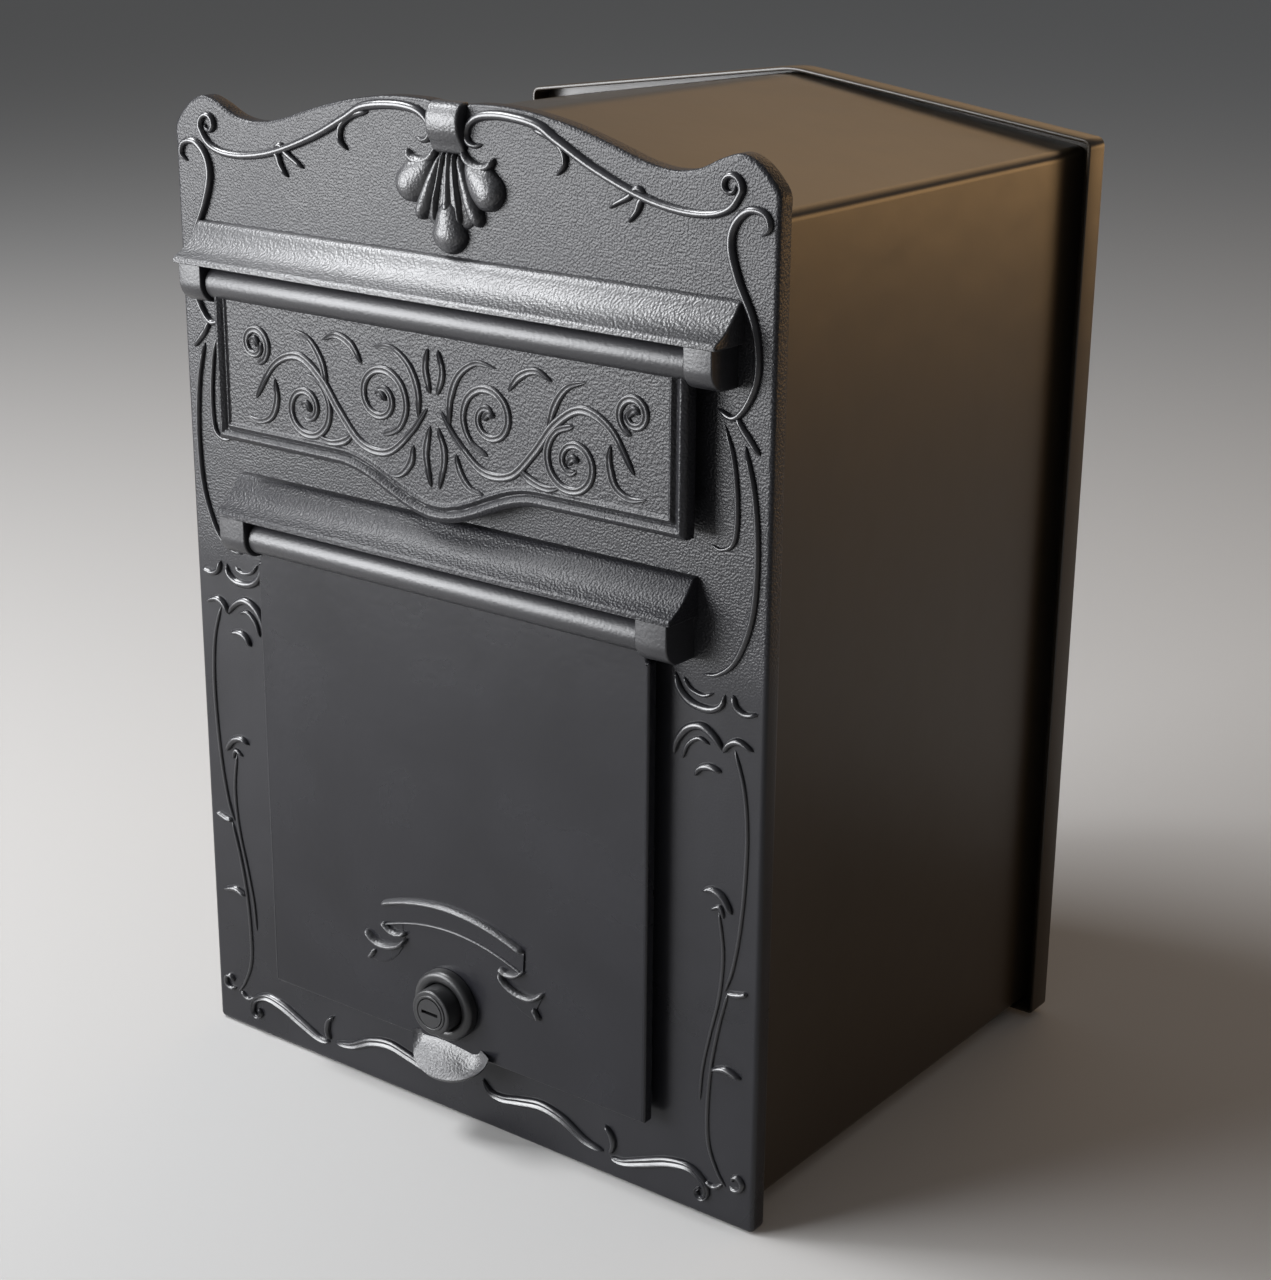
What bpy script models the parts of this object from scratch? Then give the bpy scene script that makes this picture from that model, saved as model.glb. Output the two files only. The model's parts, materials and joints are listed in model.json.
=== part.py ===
"""Wall mounted mailbox: a cast front with a letter flap and a locking door on a sheet metal case.

Units are metres. +X is to the right of someone facing the front, +Y points into the wall, +Z is up.
The origin is on the wall face of the back pan, on the centre line, at half the height of the front plate.
Heights in the constants are measured up from the front plate's bottom edge, and "out" distances are
measured forwards from the front plate's face.
"""
import math
from collections import namedtuple

import bpy
import bmesh
from mathutils import Matrix, Vector

# ---------------------------------------------------------------- overall sizes
PLATE_WIDTH = 0.265
PLATE_HEIGHT = 0.3792
PLATE_THICK = 0.0076
BODY_DEPTH = 0.2068          # wall face to the back of the front plate
GAP = 0.0003                 # between pieces that touch
HOLE_CLEARANCE = 0.0003      # radial, pins and shanks in their holes

# ---------------------------------------------------------------- sheet metal case and back pan
CASE_INSET = 0.0075          # front plate's edge to the case's side
CASE_BOTTOM = 0.0046
CASE_RIDGE_DROP = 0.0064     # plate crest down to the roof's ridge
CASE_SLOPE = 0.1544          # roof fall per unit of width
CASE_SHEET = 0.0012
CASE_CORNER = 0.003
FLANGE = 0.012
PAN_INSET = 0.0005
PAN_SHEET = 0.0015
PAN_RIM = 0.0114
PAN_BOTTOM_LAP = 0.0026      # pan's bottom edge below the case
PAN_RIDGE_LAP = 0.0024       # pan's peak above the case's ridge
PAN_SLOPE = 0.1341
PAN_CORNER = 0.002
WALL_HOLE_R = 0.0035
WALL_HOLE_X = 0.085
WALL_HOLE_RISE = 0.060       # bottom of the plate to the lower wall holes
WALL_HOLE_DROP = 0.075       # crest of the plate to the upper wall holes
DRAIN_R = 0.003
DRAIN_X = 0.070
DRAIN_Y = 0.060

# ---------------------------------------------------------------- hinges under the two hoods
BARREL_R = 0.006
PIN_R = 0.002
BLOCK_GAP = 0.0005           # barrel end to hinge block
BLOCK_SKIN = 0.002           # blind end of a pin bore
BLOCK_WALL = 0.0015          # hinge block's radius past the barrel's
HOOD_OUT = 0.0156
HOOD_LIP = 0.002
HOOD_SAG = 0.0012
HOOD_FALL = 0.0118           # hood's back edge down to its front edge
FLAP_AXIS_DROP = 0.0717      # plate crest down to the letter flap's hinge
FLAP_AIR = 0.001             # barrel to the plate's face
FLAP_HOOD_AIR = 0.0006       # barrel to the hood above it
HINGE_SPACING = 0.093        # letter flap's hinge down to the door's hinge
DOOR_AIR = 0.0017
DOOR_HOOD_AIR = 0.0013
FLAP_SIDE = 0.0255           # plate edge to the end of the flap's barrel
DOOR_SIDE = 0.0427           # plate edge to the end of the door's barrel

# ---------------------------------------------------------------- letter flap
FLAP_BACK = 0.005
FLAP_FACE = 0.010
FLAP_TRIM = 0.0008           # barrel end to the flap's side edge
FLAP_DROP = 0.0575
LOBE_HALF = 0.046
LOBE_DROP = 0.0129
SLOT_TRIM = 0.009            # flap's barrel end to the letter slot's end
SLOT_TOP_GAP = 0.0055        # flap's barrel down to the slot's top
SLOT_HEIGHT = 0.034
RIM_WALL = 0.003
RIM_CLEARANCE = 0.0005       # raised rims to the flap's and the door's back

# ---------------------------------------------------------------- door
DOOR_BACK = 0.0034
DOOR_FACE = 0.008
DOOR_LAP = 0.0012            # door's side edge past its barrel end
SHOULDER_GAP = 0.002         # hinge block down to where the door takes its full width
DOOR_BOTTOM = 0.0325
OPENING_TRIM = 0.0095        # door's side edge to the opening
OPENING_SILL = 0.003         # door's bottom edge up to the opening
OPENING_TOP_GAP = 0.0095     # door's barrel down to the opening's top
PULL_HALF = 0.023
PULL_OUT = 0.0085
PULL_DROP = 0.0145
PULL_GAP = 0.001             # lock collar down to the finger pull's rim
PULL_WALL = 0.004

# ---------------------------------------------------------------- cam lock
SILL_GAP = 0.0052            # opening's sill up to the lock nut
COLLAR_WIDTH = 0.0050        # lock head's edge to the collar's edge
COLLAR_OUT = 0.0045
HEAD_STEP = 0.001            # lock head's radius past the barrel's
HEAD_OUT = 0.0105            # door's face to the lock head's face
THREAD_R = 0.0078
THREAD_SHY = 0.0001          # lock barrel's inner end to the plane of the plate's back
PLUG_R = 0.0056
PLUG_PROUD = 0.0004
KEY_SLOT = (0.0078, 0.0013, 0.004)
WASHER_WIDTH = 0.0027
WASHER_THICK = 0.001
NUT_WALL = 0.0027            # from the thread to the nut's flats
NUT_THICK = 0.004
STOP_RIM_R = 0.0063
STOP_RIM_LENGTH = 0.0016
STOP_WINDOW = 0.0016         # half the stop tab's width and its play
STOP_R = 0.006
STOP_TAB_R = 0.0075
STOP_TAB_WIDTH = 0.0024
STOP_THICK = 0.0012
TAIL = 0.006                 # square tail of the plug
CAM_THICK = 0.002
CAM_WIDTH = 0.016
CAM_LAP = 0.0148             # locked cam's end past the opening's sill
CAM_SCREW_R = 0.002
CAM_SCREW_HEAD_R = 0.005
CAM_SCREW_HEAD = 0.0025
CAM_SCREW_DEPTH = 0.008

# ---------------------------------------------------------------- fasteners
SCREW_R = 0.0019
SCREW_BITE = 0.0052
SCREW_HEAD_R = 0.0038
SCREW_HEAD = 0.0026
RIVET_R = 0.0016
RIVET_HEAD_R = 0.0032
RIVET_HEAD = 0.0011
SIDE_FIXING_RISE = 0.045     # plate's bottom edge up to the lowest side screws
SIDE_FIXING_DROP = 0.0442    # plate crest down to the highest side screws
HOLE_END = 0.005             # how far a cutter runs past a sheet
FLOOR_FIXING_X = 0.060
FLOOR_RIVET_INSET = 0.030

# ---------------------------------------------------------------- places worked out from the sizes
HALF_WIDTH = PLATE_WIDTH / 2
FACE_Y = -(BODY_DEPTH + PLATE_THICK)
CASE_HALF = HALF_WIDTH - CASE_INSET
CASE_RIDGE = PLATE_HEIGHT - CASE_RIDGE_DROP
PAN_HALF = HALF_WIDTH - PAN_INSET
PAN_BOTTOM = CASE_BOTTOM - PAN_BOTTOM_LAP
PAN_RIDGE = CASE_RIDGE + PAN_RIDGE_LAP
CASE_FRONT_Y = -BODY_DEPTH + GAP
CASE_REAR_Y = -PAN_SHEET - GAP
BLOCK_R = BARREL_R + BLOCK_WALL
FLAP_AXIS_OUT = BARREL_R + FLAP_AIR
DOOR_AXIS_OUT = BARREL_R + DOOR_AIR
FLAP_AXIS_Z = PLATE_HEIGHT - FLAP_AXIS_DROP
DOOR_AXIS_Z = FLAP_AXIS_Z - HINGE_SPACING
FLAP_HALF = HALF_WIDTH - FLAP_SIDE
DOOR_HALF = HALF_WIDTH - DOOR_SIDE
DOOR_EDGE = DOOR_HALF + DOOR_LAP
OPENING_HALF = DOOR_EDGE - OPENING_TRIM
OPENING_BOTTOM = DOOR_BOTTOM + OPENING_SILL
OPENING_TOP = DOOR_AXIS_Z - BARREL_R - OPENING_TOP_GAP
SLOT_HALF = FLAP_HALF - SLOT_TRIM
SLOT_TOP = FLAP_AXIS_Z - BARREL_R - SLOT_TOP_GAP
HEAD_R = THREAD_R + HEAD_STEP
COLLAR_R = HEAD_R + COLLAR_WIDTH
WASHER_R = THREAD_R + WASHER_WIDTH
NUT_HALF = THREAD_R + NUT_WALL
LOCK_Z = OPENING_BOTTOM + SILL_GAP + NUT_HALF
CAM_REACH = LOCK_Z - OPENING_BOTTOM + CAM_LAP
THREAD_END = THREAD_SHY - PLATE_THICK        # measured out from the plate's face
SIDE_FIXING_TOP = PLATE_HEIGHT - SIDE_FIXING_DROP
SIDE_FIXINGS = (SIDE_FIXING_RISE, (SIDE_FIXING_RISE + SIDE_FIXING_TOP) / 2, SIDE_FIXING_TOP)

# lip is the height of a hood's front edge above the hinge, and block and overhang are widths
Hinge = namedtuple("Hinge", "name out height half block overhang lip")
FLAP_HINGE = Hinge("letter_flap", FLAP_AXIS_OUT, FLAP_AXIS_Z, FLAP_HALF, 0.0110, 0.0019,
                   BARREL_R + FLAP_HOOD_AIR + HOOD_LIP)
DOOR_HINGE = Hinge("door", DOOR_AXIS_OUT, DOOR_AXIS_Z, DOOR_HALF, 0.0127, 0.0015,
                   BARREL_R + DOOR_HOOD_AIR + HOOD_LIP)


def level(height):
    """Height above the plate's bottom edge, as a Z."""
    return height - PLATE_HEIGHT / 2


def ahead(out):
    """Distance in front of the plate's face, as a Y."""
    return FACE_Y - out


# ---------------------------------------------------------------- clean scene, collections, materials
for old in list(bpy.data.objects):
    bpy.data.objects.remove(old, do_unlink=True)

PARTS = bpy.data.collections.new("wall_mounted_mailbox")
TOOLS = bpy.data.collections.new("tools")
bpy.context.scene.collection.children.link(PARTS)
bpy.context.scene.collection.children.link(TOOLS)


def finish_material(name, colour, roughness, metallic):
    material = bpy.data.materials.new(name)
    material.use_nodes = True
    shader = material.node_tree.nodes["Principled BSDF"]
    shader.inputs["Base Color"].default_value = (*colour, 1.0)
    shader.inputs["Roughness"].default_value = roughness
    shader.inputs["Metallic"].default_value = metallic
    return material


FINISHES = {
    "black_casting": ((0.035, 0.034, 0.038), 0.48, 0.2),
    "black_sheet": ((0.030, 0.029, 0.028), 0.38, 0.2),
    "black_lock": ((0.020, 0.020, 0.022), 0.35, 0.3),
    "zinc": ((0.55, 0.55, 0.57), 0.35, 1.0),
    "steel": ((0.42, 0.42, 0.43), 0.4, 1.0),
}


def paint(obj, finish):
    """Give the object a material of its own in the named finish."""
    colour, roughness, metallic = FINISHES[finish]
    obj.data.materials.clear()
    obj.data.materials.append(finish_material(f"{obj.name}_{finish}", colour, roughness, metallic))
    return obj


def axis_empty(name, location):
    empty = bpy.data.objects.new(name, None)
    empty.empty_display_size = 0.02
    empty.location = location
    PARTS.objects.link(empty)
    return empty


AXES = {
    "letter_flap": axis_empty("letter_flap_axis", (0, ahead(FLAP_AXIS_OUT), level(FLAP_AXIS_Z))),
    "door": axis_empty("door_axis", (0, ahead(DOOR_AXIS_OUT), level(DOOR_AXIS_Z))),
    "lock": axis_empty("lock_axis", (0, ahead(0), level(LOCK_Z))),
}


# ---------------------------------------------------------------- solids
def settle(obj, parent=None):
    """Keep the object where it is while it is parented to an axis empty."""
    if parent is not None:
        obj.parent = parent
        obj.matrix_parent_inverse = Matrix.Identity(4)
        obj.location = obj.location - parent.location
    return obj


def link(name, mesh, tool, location=(0, 0, 0), turn=None):
    obj = bpy.data.objects.new(name, mesh)
    (TOOLS if tool else PARTS).objects.link(obj)
    obj.location = location
    if turn is not None:
        obj.rotation_euler = turn
    if tool:
        obj.hide_render = True
        obj.display_type = "WIRE"
    return obj


def block(name, low, high, tool=True):
    """Box between two corners, with its origin at its centre."""
    low, high = Vector(low), Vector(high)
    mesh = bpy.data.meshes.new(name)
    bm = bmesh.new()
    bmesh.ops.create_cube(bm, size=1.0)
    bmesh.ops.scale(bm, vec=high - low, verts=bm.verts)
    bm.to_mesh(mesh)
    bm.free()
    return link(name, mesh, tool, (low + high) / 2)


def rod(name, radius, start, end, tool=True, sides=24):
    """Cylinder from one point to another, with its origin at its middle."""
    start, end = Vector(start), Vector(end)
    mesh = bpy.data.meshes.new(name)
    bm = bmesh.new()
    bmesh.ops.create_cone(bm, cap_ends=True, segments=sides, radius1=radius, radius2=radius,
                          depth=(end - start).length)
    turn = Vector((0, 0, 1)).rotation_difference(end - start).to_matrix().to_4x4()
    bmesh.ops.transform(bm, matrix=turn, verts=bm.verts)
    bm.to_mesh(mesh)
    bm.free()
    smooth(mesh)
    return link(name, mesh, tool, (start + end) / 2)


def ellipsoid(name, centre, radii, tool=True):
    mesh = bpy.data.meshes.new(name)
    bm = bmesh.new()
    bmesh.ops.create_uvsphere(bm, u_segments=32, v_segments=20, radius=1.0)
    bmesh.ops.scale(bm, vec=Vector(radii), verts=bm.verts)
    bm.to_mesh(mesh)
    bm.free()
    return link(name, mesh, tool, centre)


def smooth(mesh, angle=35):
    mesh.shade_smooth()
    mesh.set_sharp_from_angle(angle=math.radians(angle))


def prism(name, outline, low, high, along, tool=True):
    """Closed outline filled and extruded between two places along Y or X.

    Along Y the outline is (x, z). Along X it is (y, z).
    """
    curve = bpy.data.curves.new(name, "CURVE")
    curve.dimensions = "2D"
    curve.fill_mode = "BOTH"
    curve.extrude = (high - low) / 2
    spline = curve.splines.new("POLY")
    spline.points.add(len(outline) - 1)
    for point, (across, up) in zip(spline.points, outline):
        point.co = (across, up, 0, 1)
    spline.use_cyclic_u = True
    sketch = bpy.data.objects.new(name, curve)
    TOOLS.objects.link(sketch)
    middle = (low + high) / 2
    if along == "Y":
        sketch.matrix_world = Matrix(((1, 0, 0, 0), (0, 0, -1, middle), (0, 1, 0, 0), (0, 0, 0, 1)))
    else:
        sketch.matrix_world = Matrix(((0, 0, 1, middle), (1, 0, 0, 0), (0, 1, 0, 0), (0, 0, 0, 1)))
    place = sketch.matrix_world.copy()
    graph = bpy.context.evaluated_depsgraph_get()
    mesh = bpy.data.meshes.new_from_object(sketch.evaluated_get(graph))
    bpy.data.objects.remove(sketch, do_unlink=True)
    bm = bmesh.new()
    bm.from_mesh(mesh)
    bmesh.ops.transform(bm, matrix=place, verts=bm.verts)
    bmesh.ops.remove_doubles(bm, verts=bm.verts, dist=1e-6)
    bmesh.ops.recalc_face_normals(bm, faces=bm.faces)
    bm.to_mesh(mesh)
    bm.free()
    smooth(mesh)
    return link(name, mesh, tool)


def recentre(obj, origin):
    """Put the object's origin at a point of its own, such as its joint's axis."""
    shift = Vector(origin) - obj.location
    obj.data.transform(Matrix.Translation(-shift))
    obj.location = Vector(origin)
    return obj


def turned(name, profile, location, turn=(math.pi / 2, 0, 0), steps=32, tool=False):
    """Profile of (radius, height) points, from the top of the outside down, turned about its axis.

    A profile that starts on the axis ends on it. One round a bore ends where it starts.
    """
    mesh = bpy.data.meshes.new(name)
    loop = profile[0] == profile[-1]
    points = profile[:-1] if loop else profile
    edges = [(index, index + 1) for index in range(len(points) - 1)]
    if loop:
        edges.append((len(points) - 1, 0))
    mesh.from_pydata([(radius, 0, height) for radius, height in points], edges, [])
    obj = link(name, mesh, tool, location, turn)
    screw = obj.modifiers.new("turn", "SCREW")
    screw.steps = steps
    screw.render_steps = steps
    screw.use_merge_vertices = True
    screw.merge_threshold = 0.00001
    screw.use_smooth_shade = False
    return obj


def ring_profile(inner, outer, low, high):
    """Section of a plain ring, closed on its bore, from the top of the outside down."""
    return [(inner, high), (outer, high), (outer, low), (inner, low), (inner, high)]


def boolean(obj, tool, operation):
    modifier = obj.modifiers.new(tool.name, "BOOLEAN")
    modifier.operation = operation
    modifier.solver = "EXACT"
    modifier.object = tool
    return obj


def cut(obj, tool):
    return boolean(obj, tool, "DIFFERENCE")


def join(obj, tool):
    return boolean(obj, tool, "UNION")


def arc(centre, radius, start, end, steps):
    """Points along an arc, with angles in degrees from the first axis."""
    angles = [math.radians(start + (end - start) * step / steps) for step in range(steps + 1)]
    return [(centre[0] + radius * math.cos(a), centre[1] + radius * math.sin(a)) for a in angles]


# ---------------------------------------------------------------- outlines
def plate_outline():
    """Front plate: straight sides, eared corners and a crest whose two low lobes spread with its width."""
    crest = [
        (HALF_WIDTH, -0.0185), (HALF_WIDTH - 0.003, -0.0139), (HALF_WIDTH - 0.0085, -0.0090),
        (HALF_WIDTH - 0.015, -0.0068), (HALF_WIDTH - 0.0225, -0.0089), (HALF_WIDTH - 0.0315, -0.0129),
        (HALF_WIDTH - 0.0415, -0.0140), (HALF_WIDTH - 0.0525, -0.0122), (HALF_WIDTH - 0.0665, -0.0079),
        (HALF_WIDTH * 0.37, -0.0034), (HALF_WIDTH * 0.2264, -0.0004), (HALF_WIDTH * 0.1057, 0.0),
        (0.0, -0.0014),
    ]
    right = [(x, level(PLATE_HEIGHT + drop)) for x, drop in crest]
    left = [(-x, z) for x, z in reversed(right[:-1])]
    return [(-HALF_WIDTH, level(0)), (HALF_WIDTH, level(0))] + right + left


def house_outline(half, bottom, ridge, slope, corner, inset=0.0):
    """Gabled outline of the case and the pan, moved inwards by inset, with rounded lower and eave corners."""
    fall = math.atan(slope)
    side = half - inset
    peak = ridge - inset / math.cos(fall)
    radius = max(corner - inset, 0.0004)
    tilt = math.degrees(fall)
    eave = peak - side * slope
    reach = radius * math.tan((math.pi / 2 - fall) / 2)
    right = arc((side - radius, level(bottom + inset + radius)), radius, -90, 0, 3)
    right += arc((side - radius, level(eave - reach)), radius, 0, 90 - tilt, 3)
    left = [(-x, z) for x, z in reversed(right)]
    return right + [(0.0, level(peak))] + left


def hood_outline(hinge):
    """Side section of a hood: a sagging top, a thin front lip and a flat underside."""
    base = hinge.height
    top = []
    for step in range(7):
        share = step / 6
        rise = hinge.lip + HOOD_FALL * (1 - share)
        sag = HOOD_SAG * math.sin(math.pi * share)
        top.append((ahead(HOOD_OUT * share), level(base + rise - sag)))
    root = ahead(-PLATE_THICK / 2)
    underside = level(base + hinge.lip - HOOD_LIP)
    return [(root, underside), (root, top[0][1])] + top + [(ahead(HOOD_OUT), underside)]


def hinge_block_outline(hinge):
    """Side section of a hinge block: a knuckle round the pin, carried to the plate and up to the hood."""
    root = ahead(-PLATE_THICK / 2)
    roof = level(hinge.height + hinge.lip - HOOD_LIP / 2)
    centre = (ahead(hinge.out), level(hinge.height))
    knuckle = arc(centre, BLOCK_R, 180, 270, 8)
    return [(root, roof), (centre[0] - BLOCK_R, roof)] + knuckle + [(root, centre[1] - BLOCK_R)]


def flap_outline():
    """Letter flap below its barrel: straight sides and a bottom edge that dips in a round lobe."""
    edge = FLAP_HALF - FLAP_TRIM
    top = level(FLAP_AXIS_Z)
    base = level(FLAP_AXIS_Z - FLAP_DROP)
    lobe = []
    for step in range(1, 16):
        x = -LOBE_HALF + 2 * LOBE_HALF * step / 16
        lobe.append((x, base - LOBE_DROP * (0.5 + 0.5 * math.cos(math.pi * x / LOBE_HALF))))
    return [(-edge, top), (-edge, base)] + lobe + [(edge, base), (edge, top)]


def door_outline():
    """Door below its barrel: it takes its full width under the hinge blocks."""
    top = level(DOOR_AXIS_Z)
    shoulder = level(DOOR_AXIS_Z - BLOCK_R - SHOULDER_GAP)
    bottom = level(DOOR_BOTTOM)
    right = [(DOOR_EDGE, bottom), (DOOR_EDGE, shoulder), (DOOR_HALF, shoulder), (DOOR_HALF, top)]
    return right + [(-x, z) for x, z in reversed(right)]


# ---------------------------------------------------------------- front plate
def raised_rim(name, half, bottom, top, out):
    """Upstand round an opening, which sheds water and backs the flap or the door."""
    rim = block(f"{name}_rim", (-half - RIM_WALL, ahead(out), level(bottom - RIM_WALL)),
                (half + RIM_WALL, ahead(-PLATE_THICK / 2), level(top + RIM_WALL)))
    hole = block(f"{name}_hole", (-half, ahead(out) - 0.01, level(bottom)),
                 (half, -BODY_DEPTH + 0.01, level(top)))
    return rim, hole


def add_hinge_mount(plate, hinge):
    """Cast hood and hinge blocks, with a pin bore that is open on the left and blind on the right."""
    inner = hinge.half + BLOCK_GAP
    outer = inner + hinge.block
    hood_half = outer + hinge.overhang
    join(plate, prism(f"{hinge.name}_hood", hood_outline(hinge), -hood_half, hood_half, "X"))
    for side, low, high in (("left", -outer, -inner), ("right", inner, outer)):
        join(plate, prism(f"{hinge.name}_block_{side}", hinge_block_outline(hinge), low, high, "X"))
    y, z = ahead(hinge.out), level(hinge.height)
    bore = rod(f"{hinge.name}_pin_bore", PIN_R + HOLE_CLEARANCE,
               (-outer - BLOCK_SKIN, y, z), (outer - BLOCK_SKIN, y, z), sides=16)
    cut(plate, bore)


def fixing_places():
    """Where screws hold the case to the plate, and rivets straight behind them hold it to the pan."""
    side = CASE_HALF - FLANGE / 2
    places = [(x, level(height)) for height in SIDE_FIXINGS for x in (-side, side)]
    floor_level = level(CASE_BOTTOM + FLANGE / 2 + CASE_SHEET)
    return places + [(-FLOOR_FIXING_X, floor_level), (FLOOR_FIXING_X, floor_level)]


def build_front_plate():
    plate = prism("front_plate", plate_outline(), ahead(0), -BODY_DEPTH, "Y", tool=False)
    recentre(plate, (0, FACE_Y, level(0)))
    slot_rim, slot_hole = raised_rim("slot", SLOT_HALF, SLOT_TOP - SLOT_HEIGHT, SLOT_TOP,
                                     FLAP_BACK - RIM_CLEARANCE)
    door_rim, door_hole = raised_rim("opening", OPENING_HALF, OPENING_BOTTOM, OPENING_TOP,
                                     DOOR_BACK - RIM_CLEARANCE)
    for rim in (slot_rim, door_rim):
        join(plate, rim)
    for hinge in (FLAP_HINGE, DOOR_HINGE):
        add_hinge_mount(plate, hinge)
    for hole in (slot_hole, door_hole):
        cut(plate, hole)
    for number, (x, z) in enumerate(fixing_places(), 1):
        cut(plate, rod(f"plate_hole_{number}", SCREW_R + HOLE_CLEARANCE,
                       (x, -BODY_DEPTH - SCREW_BITE - GAP, z), (x, -BODY_DEPTH + HOLE_END, z), sides=12))
    return paint(plate, "black_casting")


# ---------------------------------------------------------------- letter flap, door and their pins
def add_barrel(obj, hinge):
    y, z = ahead(hinge.out), level(hinge.height)
    join(obj, rod(f"{hinge.name}_barrel", BARREL_R, (-hinge.half, y, z), (hinge.half, y, z), sides=30))
    reach = hinge.half + 0.01
    cut(obj, rod(f"{hinge.name}_barrel_bore", PIN_R + HOLE_CLEARANCE,
                 (-reach, y, z), (reach, y, z), sides=16))


def build_letter_flap():
    flap = prism("letter_flap", flap_outline(), ahead(FLAP_FACE), ahead(FLAP_BACK), "Y", tool=False)
    recentre(flap, AXES["letter_flap"].location)
    add_barrel(flap, FLAP_HINGE)
    settle(flap, AXES["letter_flap"])
    return paint(flap, "black_casting")


def finger_pull():
    """Lip that flares forwards under the lock, with room for fingers behind it.

    It is the rear lower part of a hollow ellipsoid, kept below its rim and ahead of the door's back.
    """
    rim = level(LOCK_Z - COLLAR_R - PULL_GAP)
    front = DOOR_FACE + PULL_OUT
    pull = ellipsoid("pull", (0, ahead(front), rim), (PULL_HALF, PULL_OUT + PULL_WALL, PULL_DROP))
    cut(pull, ellipsoid("pull_hollow", (0, ahead(front), rim),
                        (PULL_HALF - PULL_WALL, PULL_OUT, PULL_DROP - PULL_WALL)))
    far = PULL_HALF * 2
    cut(pull, block("pull_top", (-far, ahead(far), rim), (far, ahead(-far), rim + far)))
    cut(pull, block("pull_front", (-far, ahead(far), rim - far), (far, ahead(front), rim + far)))
    cut(pull, block("pull_back", (-far, ahead(DOOR_BACK + GAP), rim - far), (far, ahead(-far), rim + far)))
    return pull


def build_door():
    door = prism("door", door_outline(), ahead(DOOR_FACE), ahead(DOOR_BACK), "Y", tool=False)
    recentre(door, AXES["door"].location)
    add_barrel(door, DOOR_HINGE)
    join(door, finger_pull())
    z = level(LOCK_Z)
    cut(door, rod("lock_hole", THREAD_R + HOLE_CLEARANCE,
                  (0, ahead(DOOR_FACE + PULL_OUT), z), (0, ahead(-PLATE_THICK), z)))
    settle(door, AXES["door"])
    return paint(door, "black_casting")


def build_hinge_pin(hinge):
    outer = hinge.half + BLOCK_GAP + hinge.block
    y, z = ahead(hinge.out), level(hinge.height)
    pin = rod(f"{hinge.name}_pin", PIN_R, (-outer + GAP, y, z), (outer - BLOCK_SKIN - GAP, y, z),
              tool=False, sides=16)
    return paint(pin, "steel")


# ---------------------------------------------------------------- lock
LOCK_PLACE = (0, FACE_Y, level(LOCK_Z))


def build_lock_collar():
    low, high = DOOR_FACE + GAP, DOOR_FACE + COLLAR_OUT
    inner = HEAD_R + HOLE_CLEARANCE
    middle = (inner + COLLAR_R) / 2
    half = (COLLAR_R - inner) / 2
    crown = [(middle + half * math.cos(a), high - half + half * math.sin(a))
             for a in (math.radians(180 - 30 * step) for step in range(7))]
    profile = crown + [(COLLAR_R, low), (inner, low), crown[0]]
    collar = turned("lock_collar", profile, LOCK_PLACE, steps=40)
    return paint(settle(collar, AXES["door"]), "black_lock")


def build_lock_body():
    bore = PLUG_R + HOLE_CLEARANCE
    head = DOOR_FACE + HEAD_OUT
    edge = 0.0008
    profile = [(bore, head), (HEAD_R - edge, head), (HEAD_R, head - edge), (HEAD_R, DOOR_FACE + GAP),
               (THREAD_R, DOOR_FACE + GAP), (THREAD_R, THREAD_END - STOP_RIM_LENGTH),
               (STOP_RIM_R, THREAD_END - STOP_RIM_LENGTH), (STOP_RIM_R, THREAD_END), (bore, THREAD_END),
               (bore, head)]
    body = turned("lock_body", profile, LOCK_PLACE, steps=40)
    z = level(LOCK_Z)
    window = block("stop_window", (-STOP_WINDOW, ahead(THREAD_END), z - 0.02),
                   (0.02, ahead(THREAD_END - 0.01), z + STOP_WINDOW))
    cut(body, window)
    return paint(settle(body, AXES["door"]), "black_lock")


def build_lock_washer():
    high = DOOR_BACK - GAP
    profile = ring_profile(THREAD_R + HOLE_CLEARANCE, WASHER_R, high - WASHER_THICK, high)
    washer = turned("lock_washer", profile, LOCK_PLACE, steps=24)
    return paint(settle(washer, AXES["door"]), "zinc")


def build_lock_nut():
    high = DOOR_BACK - GAP - WASHER_THICK - GAP
    z = level(LOCK_Z)
    corner = NUT_HALF / math.cos(math.radians(30))
    nut = rod("lock_nut", corner, (0, ahead(high), z), (0, ahead(high - NUT_THICK), z), tool=False, sides=6)
    nut.data.transform(Matrix.Rotation(math.radians(30), 4, "Y"))
    cut(nut, rod("nut_bore", THREAD_R + HOLE_CLEARANCE,
                 (0, ahead(high + HOLE_END), z), (0, ahead(high - NUT_THICK - HOLE_END), z)))
    recentre(nut, AXES["door"].location)
    return paint(settle(nut, AXES["door"]), "zinc")


STOP_HIGH = THREAD_END - GAP
CAM_HIGH = STOP_HIGH - STOP_THICK - GAP
TAIL_END = CAM_HIGH - CAM_THICK
HEAD_HIGH = TAIL_END - GAP


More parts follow.
